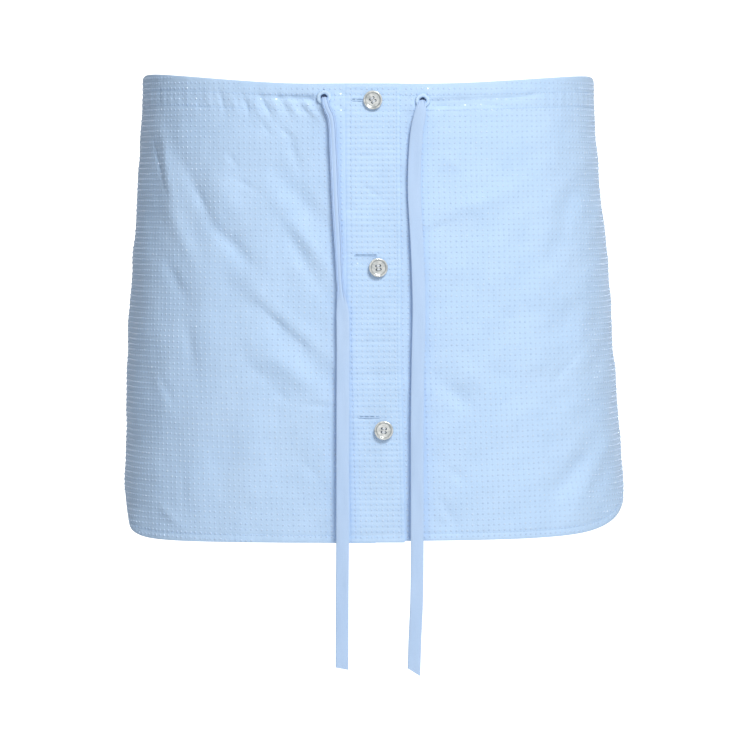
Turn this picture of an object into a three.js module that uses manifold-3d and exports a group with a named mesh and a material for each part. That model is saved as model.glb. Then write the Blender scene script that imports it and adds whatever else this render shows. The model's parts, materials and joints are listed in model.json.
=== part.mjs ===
// A short button-front skort in its filled-out, worn shape: an A-line skirt with rounded side hems,
// a drawstring casing, a button band and a pair of plain shorts inside.
// Millimetres, +Z up, the front faces -Y. The origin is the middle of the waist opening, level with
// the highest stretch of the waist edge. "Right" and "left" are the wearer's, so right is at -X.

import * as THREE from "three";
import { mergeVertices } from "three/addons/utils/BufferGeometryUtils.js";
import Module from "manifold-3d";

const wasm = await Module();
wasm.setup();

// Cloth, the gap between pieces at a seam, and the gap under a piece that lies on another
const WALL = 1.2;
const SEAM_GAP = 0.3;
const LAY_GAP = 0.3;

// The cut: the front dips at its top edge, and the band and hems are named by the wearer's sides.
const CASING_DEPTH = 21;
const WAIST_DIP = { depth: 12.5, from: 0.15, to: { right: 0.97, left: 1.06 } };
const SIDE_SETTLE = { depth: 3.5, reach: 30 };
const BAND_WIDTH = 36;
const BAND_OVERLAP = 3;
const BAND_MIDDLE = { waist: 3.0, hem: 1.3 };
const FRONT_HEM = { right: -316.9, left: -315.9 };
const BACK_HEM = -316.5;
const HEM_TURN = 7;
const MIDDLE_LEVEL = -150;

// Each hem rises in an arch round its side seam, laid out by lengths round the form at one level.
const SIDE_ARCH = {
  right: { rise: 34, reach: 34, power: 4.0 },
  left: { rise: 33, reach: 48, power: 3.0 },
};
const ARCH_LEVEL = -300;

// The worn form: half width, front and back depth and sideways drift at each level.
const FRONT_POWER = 2.6;
const BACK_POWER = 2.3;
const FORM = [
  { z: 8, halfWidth: 155, front: 103.4, back: 96, drift: 0.5 },
  { z: -25, halfWidth: 155.5, front: 105, back: 101.5, drift: 0.6 },
  { z: -75, halfWidth: 158.9, front: 106.4, back: 111, drift: 1.0 },
  { z: -130, halfWidth: 163.3, front: 107, back: 118.5, drift: 1.9 },
  { z: -190, halfWidth: 166.9, front: 106.8, back: 122, drift: 2.2 },
  { z: -255, halfWidth: 170, front: 106, back: 121.5, drift: 4.1 },
  { z: -320, halfWidth: 174.2, front: 105, back: 119, drift: 5.8 },
];

// The largest folds: soft troughs (negative) and ridges (positive) pressed into the cloth. A fold's
// middle is s round from the front centre and z down, and it leans to +X going down by lean degrees.
const FOLDS = [
  { s: -144, z: -64, halfLength: 25, halfWidth: 5, lean: 15, height: 1.6 },
  { s: -44, z: -91, halfLength: 27, halfWidth: 7, lean: 43, height: -1.4 },
  { s: -41, z: -118, halfLength: 26, halfWidth: 5, lean: 37, height: 1.1 },
  { s: -57, z: -179, halfLength: 41, halfWidth: 7, lean: 46, height: -1.2 },
  { s: -56, z: -169, halfLength: 36, halfWidth: 6, lean: 49, height: 0.9 },
  { s: -118, z: -84, halfLength: 26, halfWidth: 5, lean: 29, height: -1 },
  { s: -93, z: -119, halfLength: 21, halfWidth: 5, lean: 46, height: -1.4 },
  { s: -92, z: -91, halfLength: 36, halfWidth: 8, lean: 35, height: 0.8 },
  { s: -53, z: -204, halfLength: 29, halfWidth: 7, lean: 52, height: 1.3 },
  { s: -131, z: -112, halfLength: 21, halfWidth: 6, lean: 28, height: 1.2 },
  { s: 64, z: -95, halfLength: 26, halfWidth: 6, lean: -68, height: 1.3 },
  { s: 57, z: -220, halfLength: 15, halfWidth: 6, lean: 47, height: -1.3 },
  { s: 135, z: -274, halfLength: 26, halfWidth: 7, lean: -44, height: -1.5 },
  { s: 147, z: -282, halfLength: 29, halfWidth: 7, lean: -40, height: 1.1 },
  { s: 136, z: -105, halfLength: 32, halfWidth: 9, lean: -24, height: -1.3 },
  { s: 262, z: -120, halfLength: 46, halfWidth: 11, lean: 34, height: -1.7 },
  { s: 300, z: -205, halfLength: 50, halfWidth: 12, lean: 22, height: 1.6 },
  { s: 345, z: -110, halfLength: 40, halfWidth: 10, lean: 8, height: -1.5 },
  { s: -345, z: -190, halfLength: 54, halfWidth: 12, lean: -10, height: 1.5 },
  { s: -300, z: -125, halfLength: 44, halfWidth: 11, lean: -30, height: -1.8 },
  { s: -255, z: -215, halfLength: 46, halfWidth: 12, lean: -18, height: 1.4 },
];
const FOLD_FADE = 24;

// The casing: the drawcord inside lifts a soft ridge, gathered outside each eyelet.
const CORD_RIDGE = { depth: 16, halfWidth: 4.6, height: 0.9, fade: 8 };
const GATHERS = { count: 7, pitch: 9, from: 36, depth: 14, halfWidth: 7, height: 0.9 };

const EYELETS = {
  right: { s: -28.6, z: -22.4 },
  left: { s: 35.8, z: -24.4 },
};
const EYELET = { outer: 4.9, inner: 3.0, thick: 1.1 };

const BUTTON = {
  radius: 6.35,
  thick: 2.6,
  rim: 1.3,
  rounding: 0.5,
  underside: 1,
  dish: 0.8,
  hole: 0.75,
  holeFromMiddle: 1.55,
};
const BUTTONS = [
  { name: "button_top", s: 3.2, z: -23.8, turn: 35, tiltX: 0, tiltY: 0 },
  { name: "button_middle", s: 5.3, z: -134.8, turn: 8, tiltX: -3, tiltY: 8 },
  { name: "button_bottom", s: 7.3, z: -242.4, turn: -6, tiltX: -2, tiltY: 5 },
];

// Each tie leaves its eyelet bunched, turns down and hangs free. It opens to its full width between
// two lengths along it, and its points were placed by hand.
const TIE = { width: 8.6, thick: 1.3, rootWidth: 5, steps: 48 };
const TIES = {
  right: {
    cut: -1.6,
    opens: [132, 146],
    route: [
      [-28.0, -105.4, -22.4],
      [-28.0, -108.4, -23.4],
      [-27.3, -109.8, -26.6],
      [-25.8, -110.3, -30.6],
      [-23.9, -110.5, -34.8],
      [-22.8, -110.7, -42.4],
      [-22.4, -110.9, -50.3],
      [-21.8, -111.1, -62],
      [-21.3, -111.3, -75],
      [-20.7, -111.5, -90],
      [-19.8, -111.6, -106],
      [-18.9, -111.8, -122],
      [-18.3, -111.9, -138],
      [-17.4, -112.0, -151],
      [-16.3, -112.0, -162],
      [-15.9, -112.0, -185],
      [-16.0, -112.0, -222],
      [-16.1, -111.9, -268],
      [-16.2, -111.7, -314.6],
      [-16.5, -111.6, -354.3],
      [-16.6, -111.5, -399.6],
    ],
  },
  left: {
    cut: -5,
    opens: [4, 20],
    route: [
      [36.4, -105.1, -24.4],
      [36.3, -108.0, -25.4],
      [35.7, -109.4, -29.2],
      [34.4, -109.8, -35.8],
      [33.1, -109.9, -42.4],
      [32.0, -110.0, -55],
      [31.2, -110.2, -72],
      [31.2, -110.3, -86.7],
      [31.9, -110.5, -99.9],
      [32.9, -110.7, -118],
      [33.8, -110.8, -140],
      [34.3, -110.9, -161],
      [33.7, -111.0, -193],
      [33.1, -111.0, -232],
      [33.1, -110.9, -268],
      [33.1, -110.8, -314.6],
      [32.7, -110.7, -354.3],
      [31.6, -110.4, -380],
      [30.9, -110.2, -402],
    ],
  },
};

// The shorts inside: one piece a leg, seamed at the centre front, centre back and inner leg.
const SHORTS = {
  topBelowWaist: 9,
  crotch: -212,
  hem: -262,
  crotchPower: 2.4,
  seatInset: WALL + SEAM_GAP,
  inset: 14,
  insetLevels: [-22, -120],
  legHalfWidth: 76,
  legHalfDepth: 84,
  legBack: 4,
  innerLegGap: { crotch: 0.15, hem: 5 },
};

const COLOURS = {
  cloth: "#c4ddf8",
  plain: "#bdd7f5",
  tie: "#b9d3f4",
  button: "#d8dad6",
};

const radians = THREE.MathUtils.degToRad;
const lerp = THREE.MathUtils.lerp;
const bell = (x) => Math.exp(-x * x);

function smooth(low, high, x) {
  const t = THREE.MathUtils.clamp((x - low) / (high - low), 0, 1);
  return t * t * (3 - 2 * t);
}

// The form's sizes at a level, on a smooth curve through the rows of FORM.
function levelAt(z) {
  const last = FORM.length - 2;
  const rowBelow = FORM.findIndex((row) => row.z <= z);
  const k = rowBelow < 0 ? last : THREE.MathUtils.clamp(rowBelow - 1, 0, last);
  const span = FORM[k].z - FORM[k + 1].z;
  const t = THREE.MathUtils.clamp((FORM[k].z - z) / span, 0, 1);
  const slope = (i, column) => {
    const above = FORM[Math.max(i - 1, 0)];
    const below = FORM[Math.min(i + 1, FORM.length - 1)];
    return (below[column] - above[column]) / (above.z - below.z);
  };
  const at = (column) => {
    const a = FORM[k][column];
    const b = FORM[k + 1][column];
    const startSlope = slope(k, column) * span;
    const endSlope = slope(k + 1, column) * span;
    return (
      a * (2 * t ** 3 - 3 * t ** 2 + 1) +
      startSlope * (t ** 3 - 2 * t ** 2 + t) +
      b * (3 * t ** 2 - 2 * t ** 3) +
      endSlope * (t ** 3 - t ** 2)
    );
  };
  return {
    halfWidth: at("halfWidth"),
    front: at("front"),
    back: at("back"),
    drift: at("drift"),
  };
}

// A quarter of a flattened ellipse, from the centre line to the side seam, with its length so far.
const QUARTER_STEPS = 64;
const quarters = new Map();

function quarterPoint(halfWidth, depth, power, turn) {
  return [
    halfWidth * Math.sin(turn) ** (2 / power),
    depth * Math.max(Math.cos(turn), 0) ** (2 / power),
  ];
}

function quarter(z, column) {
  const key = `${column}${z.toFixed(3)}`;
  if (quarters.has(key)) return quarters.get(key);
  const level = levelAt(z);
  const power = column === "front" ? FRONT_POWER : BACK_POWER;
  const turns = [0];
  const lengths = [0];
  let before = quarterPoint(level.halfWidth, level[column], power, 0);
  for (let k = 1; k <= QUARTER_STEPS; k++) {
    const turn = (Math.PI / 4) * (1 - Math.cos((Math.PI * k) / QUARTER_STEPS));
    const now = quarterPoint(level.halfWidth, level[column], power, turn);
    turns.push(turn);
    lengths.push(lengths[k - 1] + Math.hypot(now[0] - before[0], now[1] - before[1]));
    before = now;
  }
  const made = { level, power, turns, lengths, total: lengths[QUARTER_STEPS] };
  quarters.set(key, made);
  return made;
}

const frontArc = (z) => quarter(z, "front").total;
const backArc = (z) => quarter(z, "back").total;
const halfGirth = (z) => frontArc(z) + backArc(z);

// The point and the level outward normal of the form, s round from the front centre at level z.
function ringPoint(s, z) {
  const girth = 2 * halfGirth(z);
  const wrapped = s > girth / 2 ? s - girth : s;
  const side = wrapped < 0 ? -1 : 1;
  const along = Math.abs(wrapped);
  const onFront = along <= frontArc(z);
  const column = onFront ? "front" : "back";
  const { level, power, turns, lengths, total } = quarter(z, column);
  const fromCentre = onFront ? along : Math.max(total - (along - frontArc(z)), 0);
  let k = lengths.findIndex((length) => length >= fromCentre);
  k = THREE.MathUtils.clamp(k < 0 ? QUARTER_STEPS : k, 1, QUARTER_STEPS);
  const share = (fromCentre - lengths[k - 1]) / (lengths[k] - lengths[k - 1]);
  const turn = lerp(turns[k - 1], turns[k], THREE.MathUtils.clamp(share, 0, 1));
  const [across, deep] = quarterPoint(level.halfWidth, level[column], power, turn);
  const facing = onFront ? -1 : 1;
  const normal = new THREE.Vector2(
    (side * (across / level.halfWidth) ** (power - 1)) / level.halfWidth,
    (facing * (deep / level[column]) ** (power - 1)) / level[column],
  ).normalize();
  return { x: level.drift + side * across, y: facing * deep, normal };
}

// The form's surface at s and z with its true normal, which also leans with the flare.
function formAt(s, z) {
  const step = 2;
  const here = ringPoint(s, z);
  const above = ringPoint(s, z + step);
  const below = ringPoint(s, z - step);
  const round = new THREE.Vector3(-here.normal.y, here.normal.x, 0);
  const up = new THREE.Vector3(above.x - below.x, above.y - below.y, 2 * step);
  const normal = new THREE.Vector3().crossVectors(round, up).normalize();
  return { point: new THREE.Vector3(here.x, here.y, z), normal };
}

// How far the place s lies round from its nearest side seam at level z.
function fromSideSeam(s, z) {
  const along = Math.min(Math.abs(s), 2 * halfGirth(z) - Math.abs(s));
  return along - frontArc(z);
}

function waistEdge(s) {
  const beyond = fromSideSeam(s, 0);
  const share = 1 + Math.min(beyond, 0) / frontArc(0);
  const to = s < 0 ? WAIST_DIP.to.right : WAIST_DIP.to.left;
  const inFront = beyond < 0 ? 1 : bell(beyond / SIDE_SETTLE.reach);
  const dip = WAIST_DIP.depth * (1 - smooth(WAIST_DIP.from, to, share)) * inFront;
  return -dip - SIDE_SETTLE.depth * bell(beyond / SIDE_SETTLE.reach);
}

function hemEdge(s, level) {
  const arch = s < 0 || s > halfGirth(ARCH_LEVEL) ? SIDE_ARCH.right : SIDE_ARCH.left;
  const away = Math.abs(fromSideSeam(s, ARCH_LEVEL));
  return level + arch.rise / (1 + (away / arch.reach) ** arch.power);
}

function foldHeight(s, z) {
  const girth = 2 * halfGirth(z);
  const fade = smooth(0, FOLD_FADE, waistEdge(s) - CASING_DEPTH - z);
  let total = 0;
  for (const fold of FOLDS) {
    let across = s - fold.s;
    if (Math.abs(across) > girth / 2) across -= Math.sign(across) * girth;
    const down = fold.z - z;
    const lean = radians(fold.lean);
    const along = across * Math.sin(lean) + down * Math.cos(lean);
    const aside = across * Math.cos(lean) - down * Math.sin(lean);
    total += fold.height * bell(along / fold.halfLength) * bell(aside / fold.halfWidth);
  }
  return total * fade;
}

// A point of the cloth, lift above the panels' outer face.
function clothAt(s, z, lift = 0) {
  const { point, normal } = formAt(s, z);
  return point.addScaledVector(normal, foldHeight(s, z) + lift);
}

const BAND_LIFT = LAY_GAP + WALL;
const bandMiddle = (z) => lerp(BAND_MIDDLE.waist, BAND_MIDDLE.hem, z / BACK_HEM);

// How far the casing's outer face stands above its plain wall.
function casingRelief(s, z) {
  const below = waistEdge(s) - z;
  const fromEyelet = Math.min(Math.abs(s - EYELETS.right.s), Math.abs(s - EYELETS.left.s));
  const between = s > EYELETS.right.s && s < EYELETS.left.s;
  const corded = between ? 0 : smooth(EYELET.outer, EYELET.outer + CORD_RIDGE.fade, fromEyelet);
  const ridge = CORD_RIDGE.height * bell((below - CORD_RIDGE.depth) / CORD_RIDGE.halfWidth);
  const waves = (Math.abs(s - BAND_MIDDLE.waist) - GATHERS.from) / GATHERS.pitch;
  const gathered = smooth(0, 1, waves) * (1 - smooth(GATHERS.count - 2, GATHERS.count, waves));
  const wave = 0.5 - 0.5 * Math.cos(2 * Math.PI * waves);
  const gather = GATHERS.height * wave * bell((below - GATHERS.depth) / GATHERS.halfWidth);
  return ridge * corded + gather * gathered;
}

// A closed wall from two grids of points, outer[row][column] and inner[row][column]. Columns run
// round to +s and rows run down, seen from outside the garment.
function wallGeometry(outer, inner) {
  const rows = outer.length;
  const columns = outer[0].length;
  const positions = [];
  for (const grid of [outer, inner]) {
    for (const row of grid) for (const p of row) positions.push(p.x, p.y, p.z);
  }
  const at = (layer, j, i) => layer * rows * columns + j * columns + i;
  const index = [];
  const quad = (a, b, c, d) => index.push(a, b, c, a, c, d);
  for (let j = 0; j < rows - 1; j++) {
    for (let i = 0; i < columns - 1; i++) {
      quad(at(0, j, i), at(0, j + 1, i), at(0, j + 1, i + 1), at(0, j, i + 1));
      quad(at(1, j, i), at(1, j, i + 1), at(1, j + 1, i + 1), at(1, j + 1, i));
    }
  }
  const last = columns - 1;
  for (let j = 0; j < rows - 1; j++) {
    quad(at(0, j, 0), at(1, j, 0), at(1, j + 1, 0), at(0, j + 1, 0));
    quad(at(0, j, last), at(0, j + 1, last), at(1, j + 1, last), at(1, j, last));
  }
  for (let i = 0; i < columns - 1; i++) {
    quad(at(0, 0, i), at(0, 0, i + 1), at(1, 0, i + 1), at(1, 0, i));
    quad(at(0, rows - 1, i), at(1, rows - 1, i), at(1, rows - 1, i + 1), at(0, rows - 1, i + 1));
  }
  const geometry = new THREE.BufferGeometry();
  geometry.setAttribute("position", new THREE.Float32BufferAttribute(positions, 3));
  geometry.setIndex(index);
  geometry.computeVertexNormals();
  return geometry;
}

// A cloth wall between two upright edges and two level ones. from(z) and to(z) give its upright
// edges as places round the garment, top(s) and bottom(s) its level ones, rows and columns are
// shares of the way down and round, and lift(s, z) is how far its faces stand above the panels'.
function clothWall({ from, to, columns, top, bottom, rows, lift, wall = WALL }) {
  const outer = [];
  const inner = [];
  for (const row of rows) {
    const outerRow = [];
    const innerRow = [];
    for (const share of columns) {
      let z = MIDDLE_LEVEL;
      let s = 0;
      for (let pass = 0; pass < 2; pass++) {
        s = lerp(from(z), to(z), share);
        z = lerp(top(s), bottom(s), row);
      }
      s = lerp(from(z), to(z), share);
      const raised = lift(s, z);
      outerRow.push(clothAt(s, z, raised.outer));
      innerRow.push(clothAt(s, z, raised.inner - wall));
    }
    outer.push(outerRow);
    inner.push(innerRow);
  }
  return wallGeometry(outer, inner);
}

const evenly = (count) => Array.from({ length: count + 1 }, (_, k) => k / count);

// Shares of a whole between marks, in a count of even steps from each mark to the next.
function stepped(marks, counts) {
  const between = counts.flatMap((count, k) =>
    evenly(count)
      .slice(1)
      .map((share) => lerp(marks[k], marks[k + 1], share)),
  );
  return [marks[0], ...between];
}

const rightEdge = (z) => bandMiddle(z) - BAND_WIDTH / 2 + BAND_OVERLAP;
const leftEdge = (z) => rightEdge(z) + SEAM_GAP;
const sideSeam = (z) => frontArc(z) - SEAM_GAP / 2;
const backStart = (z) => frontArc(z) + SEAM_GAP / 2;
const backEnd = (z) => frontArc(z) + 2 * backArc(z) - SEAM_GAP / 2;

// A front's columns are closest where its casing is gathered, two to a gather.
function frontColumns(from, to, side, counts) {
  const edges = [GATHERS.from, GATHERS.from + GATHERS.count * GATHERS.pitch]
    .map((away) => (BAND_MIDDLE.waist + side * away - from) / (to - from))
    .sort((one, other) => one - other);
  return stepped([0, ...edges, 1], counts);
}

const frontLength = -BACK_HEM - WAIST_DIP.depth;
const casingShare = (CASING_DEPTH + 6) / frontLength;
const panelRows = stepped([0, casingShare, 1 - HEM_TURN / frontLength, 1], [6, 16, 1]);
const panel = {
  top: waistEdge,
  rows: panelRows,
  lift: (s, z) => ({ outer: casingRelief(s, z), inner: 0 }),
};

const walls = {
  front_right: {
    ...panel,
    from: (z) => -sideSeam(z),
    to: rightEdge,
    columns: frontColumns(-sideSeam(0), rightEdge(0), -1, [12, 14, 4]),
    bottom: (s) => hemEdge(s, FRONT_HEM.right),
  },
  front_left: {
    ...panel,
    from: leftEdge,
    to: sideSeam,
    columns: frontColumns(leftEdge(0), sideSeam(0), 1, [6, 14, 12]),
    bottom: (s) => hemEdge(s, FRONT_HEM.left),
  },
  back: {
    ...panel,
    from: backStart,
    to: backEnd,
    columns: evenly(32),
    bottom: (s) => hemEdge(s, BACK_HEM),
  },
  button_band: {
    from: (z) => bandMiddle(z) - BAND_WIDTH / 2,
    to: (z) => bandMiddle(z) + BAND_WIDTH / 2,
    columns: evenly(4),
    top: waistEdge,
    bottom: (s) => hemEdge(s, FRONT_HEM.right),
    rows: evenly(20),
    lift: () => ({ outer: BAND_LIFT, inner: BAND_LIFT }),
  },
};

// A leg of the shorts: above the crotch it follows the skirt's form, set in, from centre front to
// centre back, and towards the crotch its two edges close into a ring round the leg.
function shortsLeg(side) {
  const levels = evenly(10).map((share) => {
    const angle = (share * Math.PI) / 2;
    return {
      drop: Math.sin(angle) ** (2 / SHORTS.crotchPower),
      ring: 1 - Math.max(Math.cos(angle), 0) ** (2 / SHORTS.crotchPower),
    };
  });
  const columns = evenly(22);
  const legRows = evenly(3).slice(1);
  const skirtShare = (s, z, inward) => {
    const { point, normal } = formAt(s, z);
    return point.addScaledVector(normal, -inward);
  };
  const legShare = (share, z, down, inward) => {
    const gap = lerp(SHORTS.innerLegGap.crotch, SHORTS.innerLegGap.hem, down);
    const wide = SHORTS.legHalfWidth - inward;
    const deep = SHORTS.legHalfDepth - inward;
    const open = SEAM_GAP / 2 / wide;
    const turn = lerp(-Math.PI + open, Math.PI - open, share);
    return new THREE.Vector3(
      levelAt(z).drift + side * (gap + SHORTS.legHalfWidth + wide * Math.cos(turn)),
      SHORTS.legBack + deep * Math.sin(turn),
      z,
    );
  };
  const grid = (depth) => {
    const made = [];
    for (const { drop, ring } of levels) {
      made.push(
        columns.map((share) => {
          const top = (s) => waistEdge(s) - SHORTS.topBelowWaist;
          const guess = share * halfGirth(0);
          const z = lerp(top(guess), SHORTS.crotch, drop);
          const whole = halfGirth(z) - SEAM_GAP;
          const s = side * (SEAM_GAP / 2 + share * whole);
          const set = lerp(SHORTS.seatInset, SHORTS.inset, smooth(...SHORTS.insetLevels, z));
          const skirt = skirtShare(s, z, set + depth);
          return skirt.lerp(legShare(share, z, 0, depth), ring);
        }),
      );
    }
    for (const down of legRows) {
      const z = lerp(SHORTS.crotch, SHORTS.hem, down);
      made.push(columns.map((share) => legShare(share, z, down, depth)));
    }
    return side > 0 ? made : made.map((row) => row.reverse());
  };
  return wallGeometry(grid(0), grid(WALL));
}

// A solid for cutting, from a geometry with its shared vertices merged.
function solid(geometry) {
  const bare = geometry.clone();
  bare.deleteAttribute("normal");
  bare.deleteAttribute("uv");
  const merged = mergeVertices(bare, 1e-4);
  return new wasm.Manifold(
    new wasm.Mesh({
      numProp: 3,
      vertProperties: new Float32Array(merged.attributes.position.array),
      triVerts: new Uint32Array(merged.index.array),
    }),
  );
}

function geometryOf(manifold) {
  const { vertProperties, triVerts } = manifold.getMesh();
  const geometry = new THREE.BufferGeometry();
  geometry.setAttribute("position", new THREE.BufferAttribute(vertProperties, 3));
  geometry.setIndex(new THREE.BufferAttribute(triVerts, 1));
  geometry.computeVertexNormals();
  return geometry;
}

// A four-hole button: a dished disc turned about its axis, +Z out, its back at 0.
function buttonGeometry() {
  const { radius, thick, rim, rounding, underside, dish, hole, holeFromMiddle } = BUTTON;
  const profile = [
    [0, 0],
    [radius - underside, 0],
    [radius, underside],
    [radius, thick - rounding],
    [radius - rounding, thick],
    [radius - rim, thick],
    [radius - rim - dish, thick - dish],
    [0, thick - dish],
  ];
  const disc = new THREE.LatheGeometry(
    profile.map(([r, h]) => new THREE.Vector2(r, h)),
    20,
  ).rotateX(Math.PI / 2);
  let made = solid(disc);
  for (const quarterTurn of [0, 1, 2, 3]) {
    const drill = new THREE.CylinderGeometry(hole, hole, 3 * thick, 8)
      .rotateX(Math.PI / 2)
      .translate(holeFromMiddle, 0, 0)
      .rotateZ(((quarterTurn + 0.5) * Math.PI) / 2);
    made = made.subtract(solid(drill));
  }
  return geometryOf(made);
}

// The eyelet's stitched edge: a ring with a rounded face, +Z out, its back at 0.
function eyeletGeometry() {
  const middle = (EYELET.outer + EYELET.inner) / 2;
  const half = (EYELET.outer - EYELET.inner) / 2;
  const profile = [
    [EYELET.inner, 0],
    [EYELET.outer, 0],
    [EYELET.outer, EYELET.thick * 0.5],
    [middle + half * 0.5, EYELET.thick * 0.9],
    [middle, EYELET.thick],
    [middle - half * 0.5, EYELET.thick * 0.9],
    [EYELET.inner, EYELET.thick * 0.5],
    [EYELET.inner, 0],
  ];
  return new THREE.LatheGeometry(
    profile.map(([r, h]) => new THREE.Vector2(r, h)),
    16,
  ).rotateX(Math.PI / 2);
}

// Sets a piece made with +Z out on the cloth, lifted, turned about that axis and tilted.
function setOnCloth(object, { s, z, turn = 0, tiltX = 0, tiltY = 0 }, lift) {
  const { normal } = formAt(s, z);
  const up = new THREE.Vector3(0, 0, 1);
  const basis = new THREE.Matrix4().lookAt(normal, new THREE.Vector3(), up);
  object.position.copy(clothAt(s, z, lift));
  object.quaternion.setFromRotationMatrix(basis);
  object.rotateX(radians(tiltX));
  object.rotateY(radians(tiltY));
  object.rotateZ(radians(turn));
  return object;
}

// A flat tie along its route: a band with rounded edges, bunched at its root, its end cut slanting.
function tieGeometry({ route, cut, opens }) {
  const points = route.map((p) => new THREE.Vector3(...p));
  const curve = new THREE.CatmullRomCurve3(points, false, "centripetal");
  const half = TIE.width / 2;
  const edge = TIE.thick / 2;
  const outline = [
    [-half, -edge / 2],
    [-half, edge / 2],
    [-half + edge, edge],
    [half - edge, edge],
    [half, edge / 2],
    [half, -edge / 2],
    [half - edge, -edge],
    [-half + edge, -edge],
  ];
  const section = new THREE.Shape(outline.map(([across, out]) => new THREE.Vector2(across, out)));
  const geometry = new THREE.ExtrudeGeometry(section, { steps: TIE.steps, extrudePath: curve });
  const centres = curve.getSpacedPoints(TIE.steps);
  const stepLength = curve.getLength() / TIE.steps;
  const position = geometry.attributes.position;
  const vertex = new THREE.Vector3();
  for (let i = 0; i < position.count; i++) {
    vertex.fromBufferAttribute(position, i);
    const gaps = centres.map((centre) => centre.distanceTo(vertex));
    const nearest = gaps.indexOf(Math.min(...gaps));
    const opened = smooth(...opens, nearest * stepLength);
    const aside = (vertex.x - centres[nearest].x) * lerp(TIE.rootWidth / TIE.width, 1, opened);
    const slant = nearest === TIE.steps ? (aside * cut) / TIE.width : 0;
    position.setXYZ(i, centres[nearest].x + aside, vertex.y, vertex.z + slant);
  }
  geometry.computeVertexNormals();
  return geometry;
}

const garment = new THREE.Group();

function addMesh(name, geometry, color, roughness = 0.85, metalness = 0) {
  const material = new THREE.MeshStandardMaterial({ color, roughness, metalness });
  const mesh = new THREE.Mesh(geometry, material);
  mesh.name = name;
  garment.add(mesh);
  return mesh;
}

for (const [name, shape] of Object.entries(walls)) {
  addMesh(name, clothWall(shape), COLOURS.cloth);
}
addMesh("shorts_right", shortsLeg(-1), COLOURS.plain);
addMesh("shorts_left", shortsLeg(1), COLOURS.plain);

for (const button of BUTTONS) {
  const tilt = radians(Math.hypot(button.tiltX, button.tiltY));
  const lift = BAND_LIFT + LAY_GAP + BUTTON.radius * Math.sin(tilt);
  const mesh = addMesh(button.name, buttonGeometry(), COLOURS.button, 0.25);
  setOnCloth(mesh, button, lift);
}

for (const side of ["right", "left"]) {
  const eyelet = addMesh(`eyelet_${side}`, eyeletGeometry(), COLOURS.tie);
  setOnCloth(eyelet, EYELETS[side], LAY_GAP + 0.1);
  addMesh(`tie_${side}`, tieGeometry(TIES[side]), COLOURS.tie);
}

export default garment;
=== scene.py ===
"""A light-blue drawstring skort in its worn shape, dressed piece by piece round its solid model.

Lengths are in millimetres until a mesh is made. A place on the cloth is given by s, the way round
from the centre front towards the wearer's left, and z, the level, both measured on the worn form.
"""
import json

import bpy
import numpy as np
from mathutils import Euler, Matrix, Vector

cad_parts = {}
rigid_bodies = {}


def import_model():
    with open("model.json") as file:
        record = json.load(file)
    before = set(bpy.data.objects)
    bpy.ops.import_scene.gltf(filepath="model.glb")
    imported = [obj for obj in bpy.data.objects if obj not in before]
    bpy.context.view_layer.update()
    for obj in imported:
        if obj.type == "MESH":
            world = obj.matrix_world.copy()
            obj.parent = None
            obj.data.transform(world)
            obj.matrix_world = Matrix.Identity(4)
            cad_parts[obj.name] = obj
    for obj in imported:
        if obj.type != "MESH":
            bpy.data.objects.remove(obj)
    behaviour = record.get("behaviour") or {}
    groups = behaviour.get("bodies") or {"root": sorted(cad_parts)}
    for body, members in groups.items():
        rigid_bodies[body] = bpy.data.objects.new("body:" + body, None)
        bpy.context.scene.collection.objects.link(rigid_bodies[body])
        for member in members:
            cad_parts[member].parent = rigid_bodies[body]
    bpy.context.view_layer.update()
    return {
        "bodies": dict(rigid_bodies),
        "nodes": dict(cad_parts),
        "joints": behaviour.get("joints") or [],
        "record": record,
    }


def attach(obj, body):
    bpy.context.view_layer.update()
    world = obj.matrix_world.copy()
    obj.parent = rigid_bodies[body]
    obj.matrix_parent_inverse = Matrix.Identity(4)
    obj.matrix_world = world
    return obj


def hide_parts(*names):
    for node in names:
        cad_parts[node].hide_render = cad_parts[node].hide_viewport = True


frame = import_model()

MM = 0.001


# The view
# The garment is seen straight on from 2.6 m, level with its middle, through a long lens that keeps
# its sides from spreading.

VIEW_DISTANCE = 2600
VIEW_MIDDLE = (5.2, -205.6)
VIEW_WIDTH = 517.5
SENSOR = 36

camera_data = bpy.data.cameras.new("front_view")
camera_data.sensor_width = SENSOR
camera_data.lens = SENSOR * VIEW_DISTANCE / VIEW_WIDTH
camera_data.clip_end = 20
camera = bpy.data.objects.new("front_view", camera_data)
camera.location = (VIEW_MIDDLE[0] * MM, -VIEW_DISTANCE * MM, VIEW_MIDDLE[1] * MM)
camera.rotation_euler = (np.pi / 2, 0, 0)
bpy.context.scene.collection.objects.link(camera)
bpy.context.scene.camera = camera
bpy.context.scene.view_settings.view_transform = "Standard"


# The two drawcord ends
# Each is a strip of plain poplin folded in four and edge-stitched, 8.6 mm wide. It comes out of its
# eyelet bunched, folds over and hangs free to a cut end below the hem.

TIE_WIDTH = 8.6
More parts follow.
